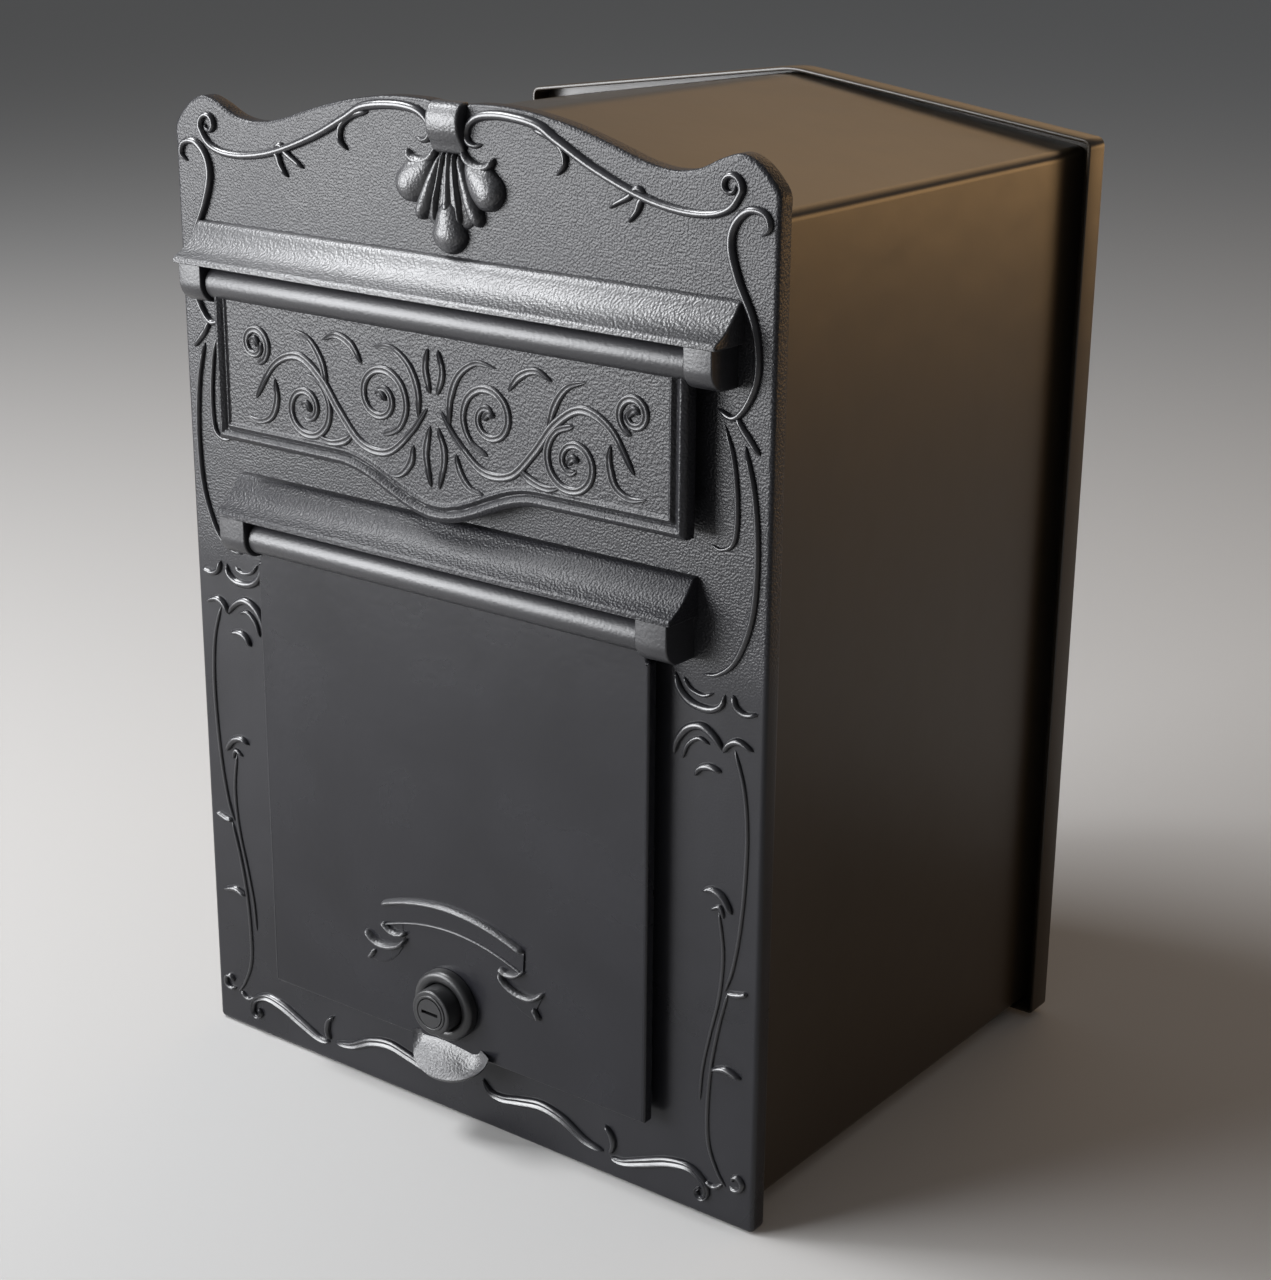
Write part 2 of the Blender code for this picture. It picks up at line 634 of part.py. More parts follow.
def build_lock_plug():
    """Plug with a key slot in front, a square tail behind and a tapped hole in the tail."""
    z = level(LOCK_Z)
    front = DOOR_FACE + HEAD_OUT + PLUG_PROUD
    plug = rod("lock_plug", PLUG_R, (0, ahead(front), z), (0, ahead(THREAD_END), z), tool=False, sides=32)
    join(plug, block("plug_tail", (-TAIL / 2, ahead(0), z - TAIL / 2),
                     (TAIL / 2, ahead(TAIL_END), z + TAIL / 2)))
    wide, tall, deep = KEY_SLOT
    cut(plug, block("key_slot", (-wide / 2, ahead(front + 0.01), z - tall / 2),
                    (wide / 2, ahead(front - deep), z + tall / 2)))
    cut(plug, rod("tail_hole", CAM_SCREW_R + HOLE_CLEARANCE, (0, ahead(TAIL_END + CAM_SCREW_DEPTH + GAP), z),
                  (0, ahead(TAIL_END - 0.01), z), sides=12))
    recentre(plug, AXES["lock"].location)
    return paint(settle(plug, AXES["lock"]), "black_lock")


def square_hole(obj, name):
    half = TAIL / 2 + HOLE_CLEARANCE
    z = level(LOCK_Z)
    return cut(obj, block(name, (-half, ahead(0.05), z - half), (half, ahead(-0.05), z + half)))


def build_cam_stop():
    z = level(LOCK_Z)
    low = STOP_HIGH - STOP_THICK
    stop = rod("cam_stop", STOP_R, (0, ahead(STOP_HIGH), z), (0, ahead(low), z), tool=False, sides=24)
    join(stop, block("stop_tab", (0, ahead(STOP_HIGH), z - STOP_TAB_WIDTH / 2),
                     (STOP_TAB_R, ahead(low), z + STOP_TAB_WIDTH / 2)))
    square_hole(stop, "stop_square")
    recentre(stop, AXES["lock"].location)
    return paint(settle(stop, AXES["lock"]), "zinc")


def build_lock_cam():
    """Cam: a flat bar with round ends, pointing sideways when it is unlocked."""
    radius = CAM_WIDTH / 2
    z = level(LOCK_Z)
    outline = arc((CAM_REACH - radius, z), radius, -90, 90, 8) + arc((0, z), radius, 90, 270, 8)
    cam = prism("lock_cam", outline, ahead(CAM_HIGH), ahead(CAM_HIGH - CAM_THICK), "Y", tool=False)
    square_hole(cam, "cam_square")
    recentre(cam, AXES["lock"].location)
    return paint(settle(cam, AXES["lock"]), "zinc")


def cross_recess(name, place, direction, width, depth):
    """Two crossed slots in a screw head, as a pair of cutters at a face that looks along Y."""
    x, y, z = place
    thin = width / 6
    deep = y - direction * depth
    near = y + direction * 0.005
    low, high = min(deep, near), max(deep, near)
    yield block(f"{name}_recess_1", (x - width / 2, low, z - thin), (x + width / 2, high, z + thin))
    yield block(f"{name}_recess_2", (x - thin, low, z - width / 2), (x + thin, high, z + width / 2))


def build_cam_screw():
    top = TAIL_END + CAM_SCREW_DEPTH
    low = HEAD_HIGH - CAM_SCREW_HEAD
    profile = [(0, top), (CAM_SCREW_R, top - 0.0005), (CAM_SCREW_R, HEAD_HIGH), (CAM_SCREW_HEAD_R, HEAD_HIGH),
               (CAM_SCREW_HEAD_R, low + 0.001), (CAM_SCREW_HEAD_R - 0.001, low), (0, low)]
    screw = turned("cam_screw", profile, LOCK_PLACE, steps=20)
    for tool in cross_recess("cam_screw", (0, ahead(low), level(LOCK_Z)), 1, 0.0055, 0.0015):
        cut(screw, tool)
    return paint(settle(screw, AXES["lock"]), "zinc")


# ---------------------------------------------------------------- case
FLOOR_Z = CASE_BOTTOM + CASE_SHEET + GAP      # underside of the floor sheet, on the case's bottom hems


def flange_window(inset):
    """Clear space inside the case's flanges, open below."""
    outline = house_outline(CASE_HALF, CASE_BOTTOM, CASE_RIDGE, CASE_SLOPE, CASE_CORNER, inset)
    bottom = min(z for _, z in outline)
    half = CASE_HALF - inset
    upper = [(x, z) for x, z in outline if z > bottom + CASE_CORNER + 0.001]
    return [(-half, bottom - 0.05), (half, bottom - 0.05)] + upper


def floor_rivet_places():
    side = CASE_HALF - FLANGE / 2
    return [(x, y) for x in (-side, side)
            for y in (CASE_FRONT_Y + FLOOR_RIVET_INSET, CASE_REAR_Y - FLOOR_RIVET_INSET)]


def build_case_wrap():
    """Roof and sides bent from one sheet, with inward flanges at the front, the rear and the bottom."""
    outer = house_outline(CASE_HALF, CASE_BOTTOM, CASE_RIDGE, CASE_SLOPE, CASE_CORNER)
    inner = house_outline(CASE_HALF, CASE_BOTTOM, CASE_RIDGE, CASE_SLOPE, CASE_CORNER, CASE_SHEET)
    wrap = prism("case_wrap", outer, CASE_FRONT_Y, CASE_REAR_Y, "Y", tool=False)
    recentre(wrap, (0, CASE_REAR_Y, level(CASE_BOTTOM)))
    cut(wrap, prism("case_inside", inner, CASE_FRONT_Y + CASE_SHEET, CASE_REAR_Y - CASE_SHEET, "Y"))
    cut(wrap, prism("case_window", flange_window(FLANGE), CASE_FRONT_Y - 0.01, CASE_REAR_Y + 0.01, "Y"))
    for number, (x, z) in enumerate(fixing_places()[:-2], 1):
        cut(wrap, rod(f"wrap_front_hole_{number}", SCREW_R + HOLE_CLEARANCE,
                      (x, CASE_FRONT_Y - HOLE_END, z), (x, CASE_FRONT_Y + HOLE_END, z), sides=12))
        cut(wrap, rod(f"wrap_rear_hole_{number}", RIVET_R + HOLE_CLEARANCE,
                      (x, CASE_REAR_Y - HOLE_END, z), (x, CASE_REAR_Y + HOLE_END, z), sides=12))
    for number, (x, y) in enumerate(floor_rivet_places(), 1):
        z = level(CASE_BOTTOM)
        cut(wrap, rod(f"hem_hole_{number}", RIVET_R + HOLE_CLEARANCE,
                      (x, y, z - HOLE_END), (x, y, z + CASE_SHEET + HOLE_END), sides=12))
    return paint(wrap, "black_sheet")


def build_floor_panel():
    """Floor sheet that rests on the case's bottom hems and turns up at the front and the rear."""
    half = CASE_HALF - CASE_CORNER - GAP
    tab_half = CASE_HALF - FLANGE - 2 * GAP
    low, high = level(FLOOR_Z), level(FLOOR_Z + CASE_SHEET)
    inset = CASE_SHEET + GAP
    floor = block("floor_panel", (-half, CASE_FRONT_Y + inset, low), (half, CASE_REAR_Y - inset, high),
                  tool=False)
    tab_top = level(CASE_BOTTOM + FLANGE + CASE_SHEET)
    join(floor, block("floor_front_tab", (-tab_half, CASE_FRONT_Y, low),
                      (tab_half, CASE_FRONT_Y + CASE_SHEET, tab_top)))
    join(floor, block("floor_rear_tab", (-tab_half, CASE_REAR_Y - CASE_SHEET, low),
                      (tab_half, CASE_REAR_Y, tab_top)))
    join(floor, block("floor_strip", (-tab_half, CASE_FRONT_Y, low), (tab_half, CASE_REAR_Y, high)))
    for number, (x, z) in enumerate(fixing_places()[-2:], 1):
        cut(floor, rod(f"tab_front_hole_{number}", SCREW_R + HOLE_CLEARANCE,
                       (x, CASE_FRONT_Y - HOLE_END, z), (x, CASE_FRONT_Y + HOLE_END, z), sides=12))
        cut(floor, rod(f"tab_rear_hole_{number}", RIVET_R + HOLE_CLEARANCE,
                       (x, CASE_REAR_Y - HOLE_END, z), (x, CASE_REAR_Y + HOLE_END, z), sides=12))
    holes = [(f"floor_hole_{number}", RIVET_R + HOLE_CLEARANCE, place)
             for number, place in enumerate(floor_rivet_places(), 1)]
    middle = (CASE_FRONT_Y + CASE_REAR_Y) / 2
    drains = [(x, middle + y) for x in (-DRAIN_X, DRAIN_X) for y in (-DRAIN_Y, DRAIN_Y)]
    holes += [(f"drain_{number}", DRAIN_R, place) for number, place in enumerate(drains, 1)]
    for name, radius, (x, y) in holes:
        cut(floor, rod(name, radius, (x, y, low - HOLE_END), (x, y, high + HOLE_END), sides=12))
    return paint(floor, "black_sheet")


def build_back_pan():
    """House shaped pan that hangs on the wall, with a forward rim round the rear of the case."""
    outer = house_outline(PAN_HALF, PAN_BOTTOM, PAN_RIDGE, PAN_SLOPE, PAN_CORNER)
    inner = house_outline(PAN_HALF, PAN_BOTTOM, PAN_RIDGE, PAN_SLOPE, PAN_CORNER, PAN_SHEET)
    pan = prism("back_pan", outer, -PAN_RIM, 0.0, "Y", tool=False)
    cut(pan, prism("pan_inside", inner, -PAN_RIM - 0.01, -PAN_SHEET, "Y"))
    holes = [(x, level(height), WALL_HOLE_R) for x in (-WALL_HOLE_X, WALL_HOLE_X)
             for height in (WALL_HOLE_RISE, PLATE_HEIGHT - WALL_HOLE_DROP)]
    holes += [(x, z, RIVET_R + HOLE_CLEARANCE) for x, z in fixing_places()]
    for number, (x, z, radius) in enumerate(holes, 1):
        cut(pan, rod(f"pan_hole_{number}", radius, (x, -PAN_SHEET - HOLE_END, z), (x, HOLE_END, z), sides=16))
    return paint(pan, "black_sheet")


# ---------------------------------------------------------------- fasteners
def build_plate_screws():
    """Pan head screws from inside the case, through its front flange into the plate."""
    head_y = CASE_FRONT_Y + CASE_SHEET + GAP
    tip = head_y + BODY_DEPTH + SCREW_BITE
    profile = [(0, tip), (SCREW_R, tip - 0.0005), (SCREW_R, 0), (SCREW_HEAD_R, 0),
               (SCREW_HEAD_R, -SCREW_HEAD + 0.001), (SCREW_HEAD_R - 0.001, -SCREW_HEAD), (0, -SCREW_HEAD)]
    for number, (x, z) in enumerate(fixing_places(), 1):
        name = f"plate_screw_{number}"
        screw = turned(name, profile, (x, head_y, z), steps=12)
        for tool in cross_recess(name, (x, head_y + SCREW_HEAD, z), 1, 0.0042, 0.0014):
            cut(screw, tool)
        paint(screw, "zinc")


def rivet_profile(grip, flush):
    """Rivet with its head at height 0 and above, and a second head unless its far end is flush."""
    shank = -grip
    profile = [(0, RIVET_HEAD), (RIVET_HEAD_R * 0.7, RIVET_HEAD * 0.75), (RIVET_HEAD_R, 0.0002),
               (RIVET_HEAD_R, 0), (RIVET_R, 0), (RIVET_R, shank)]
    if flush:
        return profile + [(0, shank)]
    return profile + [(RIVET_HEAD_R * 0.8, shank), (RIVET_HEAD_R * 0.6, shank - RIVET_HEAD * 0.7),
                      (0, shank - RIVET_HEAD)]


def build_back_rivets():
    """Rivets through the case's rear flange into the pan, flush with the wall face."""
    head_y = CASE_REAR_Y - CASE_SHEET - GAP
    profile = rivet_profile(-head_y - GAP, True)
    for number, (x, z) in enumerate(fixing_places(), 1):
        paint(turned(f"back_rivet_{number}", profile, (x, head_y, z), steps=10), "zinc")


def build_floor_rivets():
    head_z = level(FLOOR_Z + CASE_SHEET) + GAP
    grip = head_z - level(CASE_BOTTOM) + GAP
    profile = rivet_profile(grip, False)
    for number, (x, y) in enumerate(floor_rivet_places(), 1):
        paint(turned(f"floor_rivet_{number}", profile, (x, y, head_z), turn=(0, 0, 0), steps=10), "zinc")


build_front_plate()
build_letter_flap()
build_door()
for pin_hinge in (FLAP_HINGE, DOOR_HINGE):
    build_hinge_pin(pin_hinge)
build_lock_collar()
build_lock_body()
build_lock_washer()
build_lock_nut()
build_lock_plug()
build_cam_stop()
build_lock_cam()
build_cam_screw()
build_case_wrap()
build_floor_panel()
build_back_pan()
build_plate_screws()
build_back_rivets()
build_floor_rivets()
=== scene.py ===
# %% [markdown]
# # A wall mounted mailbox with a cast front
#
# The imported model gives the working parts: where every piece is, and how it turns. This lesson adds the
# looks, one piece or one finish at a time.
#
# Three kinds of surface make nearly everything here:
#
# - a ring of points carried along a path, for scrolls, hoods, barrels and bent sheet
# - a flat outline with rounded edges, for the cast plates
# - a grid whose height is a formula, for the letter flap and the finger pull

# %% Load the working model
import json
import math

import bmesh
import bpy
import numpy as np
from mathutils import Matrix, Vector


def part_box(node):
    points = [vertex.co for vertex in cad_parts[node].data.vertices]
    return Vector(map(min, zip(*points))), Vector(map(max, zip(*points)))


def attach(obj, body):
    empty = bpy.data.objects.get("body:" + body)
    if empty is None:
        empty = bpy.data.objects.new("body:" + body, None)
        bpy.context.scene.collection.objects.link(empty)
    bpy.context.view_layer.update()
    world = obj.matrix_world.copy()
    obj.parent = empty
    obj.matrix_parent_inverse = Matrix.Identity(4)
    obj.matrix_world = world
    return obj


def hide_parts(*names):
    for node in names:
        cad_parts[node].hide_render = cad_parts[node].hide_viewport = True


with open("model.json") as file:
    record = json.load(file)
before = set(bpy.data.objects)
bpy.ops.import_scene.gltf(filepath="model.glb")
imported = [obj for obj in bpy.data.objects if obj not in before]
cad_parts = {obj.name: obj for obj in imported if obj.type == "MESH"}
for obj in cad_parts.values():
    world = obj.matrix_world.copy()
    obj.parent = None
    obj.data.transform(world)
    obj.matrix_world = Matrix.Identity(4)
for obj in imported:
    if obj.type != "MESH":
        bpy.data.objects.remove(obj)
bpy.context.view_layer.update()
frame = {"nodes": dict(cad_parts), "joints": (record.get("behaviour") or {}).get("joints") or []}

# %% [markdown]
# ## Where things are
#
# The mailbox's own sizes are in millimetres. A place on it is said as x to the right, *out* in front of the
# plate's face, and *height* above the plate's bottom edge. One function turns such places into metres in the
# shared frame.

# %% Millimetres on the mailbox to metres in the frame
MM = 0.001
hinge_of = {joint["name"]: joint["pos_m"] for joint in frame["joints"]}
plate_low, plate_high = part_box("front_plate")
FACE_Y = hinge_of["lock_turn"][1]
BASE_Z = plate_low.z


def at(x, out, height):
    """Points in metres: x stays x, out runs against Y from the plate's face, height runs up from its foot."""
    x, out, height = np.broadcast_arrays(x, out, height)
    return np.stack([x * MM, FACE_Y - out * MM, BASE_Z + height * MM], axis=-1)


def on_mailbox(joint):
    """A joint's place as (out, height) in millimetres."""
    _, y, z = hinge_of[joint]
    return (FACE_Y - y) / MM, (z - BASE_Z) / MM


HALF = plate_high.x / MM
TALL = (plate_high.z - BASE_Z) / MM
THICK = 7.6
FLAP_OUT, FLAP_AXIS = on_mailbox("letter_flap_hinge")
DOOR_OUT, DOOR_AXIS = on_mailbox("door_hinge")
LOCK_HEIGHT = on_mailbox("lock_turn")[1]
print(f"plate {2 * HALF:.1f} by {TALL:.1f} mm, hinges at {FLAP_AXIS:.1f} and {DOOR_AXIS:.1f} mm up")

# %% [markdown]
# ## Helpers for surfaces
#
# A mesh is only points and faces. Both are worked out here as whole arrays: the faces of a grid follow from
# its number of rows and columns.


# %% Grids, rings and flat plates
def grid_faces(rows, cols, around=False, start=0):
    """Quads of a grid numbered row by row. around=True joins the last column to the first."""
    row = np.arange(rows - 1)[:, None]
    col = np.arange(cols if around else cols - 1)[None, :]
    after = (col + 1) % cols
    quads = [row * cols + col, row * cols + after, (row + 1) * cols + after, (row + 1) * cols + col]
    return (np.stack(np.broadcast_arrays(*quads), axis=-1).reshape(-1, 4) + start).tolist()


def tube(rings):
    """Closed surface through a stack of rings (rings, points, 3), with a face across each end."""
    rows, cols = rings.shape[:2]
    faces = grid_faces(rows, cols, around=True)
    faces += [list(range(cols)), list(range((rows - 1) * cols, rows * cols))]
    return rings.reshape(-1, 3), faces


def wheel(rings):
    """Closed surface through rings that come full circle: the last ring joins the first."""
    rows, cols = rings.shape[:2]
    faces = np.array(grid_faces(rows + 1, cols, around=True)) % (rows * cols)
    return rings.reshape(-1, 3), faces.tolist()


def slab(front, back):
    """Closed surface from a front grid and a back grid of the same size, with walls round the rim."""
    rows, cols = front.shape[:2]
    count = rows * cols
    index = np.arange(count).reshape(rows, cols)
    rim = np.concatenate([index[0], index[1:, -1], index[-1, -2::-1], index[-2:0:-1, 0]])
    ahead = np.roll(rim, -1)
    walls = np.stack([rim, ahead, ahead + count, rim + count], axis=-1).tolist()
    faces = grid_faces(rows, cols) + grid_faces(rows, cols, start=count) + walls
    return np.concatenate([front.reshape(-1, 3), back.reshape(-1, 3)]), faces


def side_normals(loop):
    """Unit normals of a closed loop of 2-D points, on the left of its direction."""
    along = np.roll(loop, -1, axis=0) - np.roll(loop, 1, axis=0)
    along /= np.linalg.norm(along, axis=1, keepdims=True)
    return np.stack([-along[:, 1], along[:, 0]], axis=-1)


def rounding(radius, steps):
    """Quarter circle as (inset, drop) pairs: from flat on the face to flush with the side."""
    turn = np.linspace(0, math.pi / 2, steps + 1)
    return np.stack([radius - radius * np.sin(turn), radius - radius * np.cos(turn)], axis=-1)


def rounded_plate(loops, low, high, radius, steps=4):
    """Flat plate between two out distances, with rounded edges.

    The first loop is the outline, anticlockwise; the others are holes, clockwise, so that the metal is
    always on the left. Each loop is repeated along a quarter circle, and the faces are filled in between.
    """
    shoulder = rounding(radius, steps)
    front = np.concatenate([[[radius + 0.4, 0.0]], shoulder])
    track = np.concatenate([np.stack([front[:, 0], high - front[:, 1]], axis=-1),
                            np.stack([front[::-1, 0], low + front[::-1, 1]], axis=-1)])
    points, faces, start = [], [], 0
    for loop in loops:
        inset = loop + side_normals(loop) * track[:, None, :1]
        points.append(at(inset[..., 0], track[:, 1:], inset[..., 1]).reshape(-1, 3))
        faces += grid_faces(len(track), len(loop), around=True, start=start)
        start += len(track) * len(loop)
    points = np.concatenate(points)
    return points, filled(points, faces)


def filled(points, faces):
    """The faces, with flat triangles added between the open rims at the front and between those behind."""
    mesh = bpy.data.meshes.new("open_sides")
    mesh.from_pydata(points.tolist(), [], faces)
    bm = bmesh.new()
    bm.from_mesh(mesh)
    bpy.data.meshes.remove(mesh)
    middle = (points[:, 1].min() + points[:, 1].max()) / 2
    rims = [edge for edge in bm.edges if edge.is_boundary]
    for ahead in (True, False):
        side = [edge for edge in rims if (edge.verts[0].co.y < middle) == ahead]
        bmesh.ops.triangle_fill(bm, use_beauty=True, use_dissolve=False, edges=side)
    bm.verts.index_update()
    faces = [[v.index for v in face.verts] for face in bm.faces]
    bm.free()
    return faces


def turned(profile, centre, axis="Y", steps=96):
    """Ring or disc turned about a line: a closed (radius, out) or (radius, x) profile goes once round.

    Along Y the centre is (x, height) and the second number is out. Along X the centre is (out, height)
    and the second number is x.
    """
    profile = np.asarray(profile, dtype=float)
    angle = np.linspace(0, 2 * math.pi, steps, endpoint=False)
    radius, along = profile[:, 0], profile[:, 1]
    across = centre[0] + np.outer(np.cos(angle), radius)
    up = centre[1] + np.outer(np.sin(angle), radius)
    return wheel(at(across, along, up) if axis == "Y" else at(along, across, up))


def flowing(points, step=0.8):
    """Smooth path through given points.

    Each stretch is a Catmull-Rom cubic: it leaves a point in the direction of the line between that
    point's neighbours. The result is resampled at even steps.
    """
    points = np.asarray(points, dtype=float)
    padded = np.concatenate([[2 * points[0] - points[1]], points, [2 * points[-1] - points[-2]]])
    a, b, c, d = padded[:-3, None], padded[1:-2, None], padded[2:-1, None], padded[3:, None]
    t = np.linspace(0, 1, 24, endpoint=False)[:, None]
    dense = 0.5 * (2 * b + (c - a) * t + (2 * a - 5 * b + 4 * c - d) * t**2 + (3 * b - a - 3 * c + d) * t**3)
    dense = np.concatenate([dense.reshape(-1, points.shape[1]), points[-1:]])
    length = np.concatenate([[0], np.cumsum(np.linalg.norm(np.diff(dense, axis=0), axis=1))])
    even = np.linspace(0, length[-1], max(int(length[-1] / step), 6))
    return np.stack([np.interp(even, length, dense[:, k]) for k in range(dense.shape[1])], axis=-1)


# %% [markdown]
# ## Turning points and faces into a piece
#
# A piece is one object: its place is in its mesh, and the object itself stays at the origin. The helper
# below also points every face outwards, shades round stretches smoothly, hangs the piece under an empty for
# the working body it rides on, and hides the plain solid it stands for.


# %% The piece maker
def placed(name, data):
    """Object at the origin, linked to the scene."""
    obj = bpy.data.objects.new(name, data)
    bpy.context.scene.collection.objects.link(obj)
    return obj


def piece(name, shapes, body, finish, stands_for, crease=38):
    """One object from several (points, faces) shapes; edges sharper than crease degrees stay crisp."""
    points, faces, start = [], [], 0
    for shape_points, shape_faces in shapes:
        points.append(shape_points)
        faces += [[index + start for index in face] for face in shape_faces]
        start += len(shape_points)
    mesh = bpy.data.meshes.new(name)
    mesh.from_pydata(np.concatenate(points).tolist(), [], faces)
    bm = bmesh.new()
    bm.from_mesh(mesh)
    bmesh.ops.remove_doubles(bm, verts=bm.verts, dist=1e-6)
    bmesh.ops.recalc_face_normals(bm, faces=bm.faces)
    bm.to_mesh(mesh)
    bm.free()
    mesh.shade_smooth()
    mesh.set_sharp_from_angle(angle=math.radians(crease))
    mesh.materials.append(finish)
    obj = placed(name, mesh)
    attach(obj, body)
    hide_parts(stands_for)
    print(f"{name}: {sum(len(p.vertices) - 2 for p in mesh.polygons)} triangles on {body}")


# %% [markdown]
# ## Finishes: shared effects
#
# The whole box is black, and what tells the pieces apart is how the black is broken up. A casting keeps the
# grain of its sand mould under the powder coat, like orange peel. Two effects serve all the finishes, so
# each is a node group with its own inputs: one makes a height, and one makes soft patches that vary the
# colour and the gloss.


# %% Node helpers and the two shared effects
def new_group(name, inputs, outputs):
    """Empty node group with float sockets: inputs are (label, value) pairs, outputs are labels."""
    group = bpy.data.node_groups.new(name, "ShaderNodeTree")
    for label, value in inputs:
        socket = group.interface.new_socket(label, in_out="INPUT", socket_type="NodeSocketFloat")
        socket.default_value = value
    for label in outputs:
        group.interface.new_socket(label, in_out="OUTPUT", socket_type="NodeSocketFloat")
    return group, group.nodes.new("NodeGroupInput"), group.nodes.new("NodeGroupOutput")


def node(tree, kind, links=(), **settings):
    """New node with its settings, and links given as (input name or index, value or output socket)."""
    made = tree.nodes.new(kind)
    for key, value in settings.items():
        setattr(made, key, value)
    for socket, source in links:
        if isinstance(source, bpy.types.NodeSocket):
            tree.links.new(source, made.inputs[socket])
        else:
            made.inputs[socket].default_value = source
    return made


def make_grain():
    """Height of a grained surface: coarse rounded lumps held between 0 and 1, with a share of finer lumps
    added on top.
    """
    group, source, result = new_group(
        "cast_grain", [("Lumps per metre", 420.0), ("Stretch", 1.0), ("Fine share", 0.35)], ["Height"])
    place = node(group, "ShaderNodeTexCoord").outputs["Object"]
    stretch = node(group, "ShaderNodeCombineXYZ", [(0, 1.0), (1, 1.0), (2, source.outputs["Stretch"])])
    place = node(group, "ShaderNodeVectorMath", [(0, place), (1, stretch.outputs[0])],
                 operation="MULTIPLY").outputs[0]
    coarse = node(group, "ShaderNodeTexNoise",
                  [("Vector", place), ("Scale", source.outputs["Lumps per metre"]), ("Detail", 0.6)])
    finer = node(group, "ShaderNodeMath", [(0, source.outputs["Lumps per metre"]), (1, 2.6)],
                 operation="MULTIPLY")
    fine = node(group, "ShaderNodeTexNoise",
                [("Vector", place), ("Scale", finer.outputs[0]), ("Detail", 1.0)])
    level = node(group, "ShaderNodeMapRange", [("Value", coarse.outputs[0]), (1, 0.25), (2, 0.75)],
                 interpolation_type="SMOOTHSTEP")
    extra = node(group, "ShaderNodeMath", [(0, fine.outputs[0]), (1, source.outputs["Fine share"])],
                 operation="MULTIPLY")
    total = node(group, "ShaderNodeMath", [(0, level.outputs[0]), (1, extra.outputs[0])], operation="ADD")
    group.links.new(total.outputs[0], result.inputs[0])
    return group


def make_patches():
    """Soft patches between 0 and 1, as handling, rain and uneven coating leave on a painted surface."""
    group, source, result = new_group("soft_patches", [("Patches per metre", 14.0)], ["Mask"])
    place = node(group, "ShaderNodeTexCoord").outputs["Object"]
    cloud = node(group, "ShaderNodeTexNoise",
                 [("Vector", place), ("Scale", source.outputs["Patches per metre"]), ("Detail", 5.0),
                  ("Roughness", 0.6), ("Distortion", 0.4)])
    level = node(group, "ShaderNodeMapRange", [("Value", cloud.outputs[0]), (1, 0.3), (2, 0.7)])
    group.links.new(level.outputs[0], result.inputs[0])
    return group


GRAIN = make_grain()
PATCHES = make_patches()
print("shared effects:", GRAIN.name, PATCHES.name)

# %% [markdown]
# ## Finishes: the materials
#
# One function builds every painted finish from its own values: two close blacks mixed by the patches, a
# gloss that varies a little, and a bump from the grain. On the casting the grain is strong on the upper
# plate, the hoods and the flap, and fades out below the door's hinge, where the mould was smoother.


# %% Painted and metal finishes
FAINT = 0.12
GRAIN_DULLS = 0.13


def finish(name, dark, light, gloss, lumps, depth, stretch=1.0, patches=14.0, fade=None, metallic=0.0,
           specular=0.5):
    """Finish with grain: dark and light are linear colours, gloss is a (low, high) roughness range.

    depth is the grain's height in millimetres. fade is a (from, to) pair of heights on the mailbox, and
    between them the grain grows from faint to its full depth and dulls the surface as it does.
    """
    material = bpy.data.materials.new(name)
    material.use_nodes = True
    tree = material.node_tree
    shader = tree.nodes["Principled BSDF"]
    shader.inputs["Metallic"].default_value = metallic
    shader.inputs["Specular IOR Level"].default_value = specular
    cloud = node(tree, "ShaderNodeGroup", [(0, patches)], node_tree=PATCHES)
    grain = node(tree, "ShaderNodeGroup", [("Lumps per metre", lumps), ("Stretch", stretch)], node_tree=GRAIN)
    colour = node(tree, "ShaderNodeMix", [("Factor", cloud.outputs[0]), (6, (*dark, 1)), (7, (*light, 1))],
                  data_type="RGBA")
    tree.links.new(colour.outputs[2], shader.inputs["Base Color"])
    rough = node(tree, "ShaderNodeMapRange",
                 [("Value", cloud.outputs[0]), (3, gloss[0]), (4, gloss[1])]).outputs[0]
    height = grain.outputs["Height"]
    if fade:
        place = node(tree, "ShaderNodeTexCoord").outputs["Object"]
        up = node(tree, "ShaderNodeSeparateXYZ", [(0, place)]).outputs[2]
        low, high = (BASE_Z + value * MM for value in fade)
        share = node(tree, "ShaderNodeMapRange", [("Value", up), (1, low), (2, high), (3, FAINT), (4, 1.0)],
                     interpolation_type="SMOOTHSTEP")
        height = node(tree, "ShaderNodeMath", [(0, height), (1, share.outputs[0])],
                      operation="MULTIPLY").outputs[0]
        rough = node(tree, "ShaderNodeMath", [(0, share.outputs[0]), (1, GRAIN_DULLS), (2, rough)],
                     operation="MULTIPLY_ADD").outputs[0]
    tree.links.new(rough, shader.inputs["Roughness"])
    bump = node(tree, "ShaderNodeBump", [("Height", height), ("Distance", depth * MM)])
    tree.links.new(bump.outputs[0], shader.inputs["Normal"])
    return material


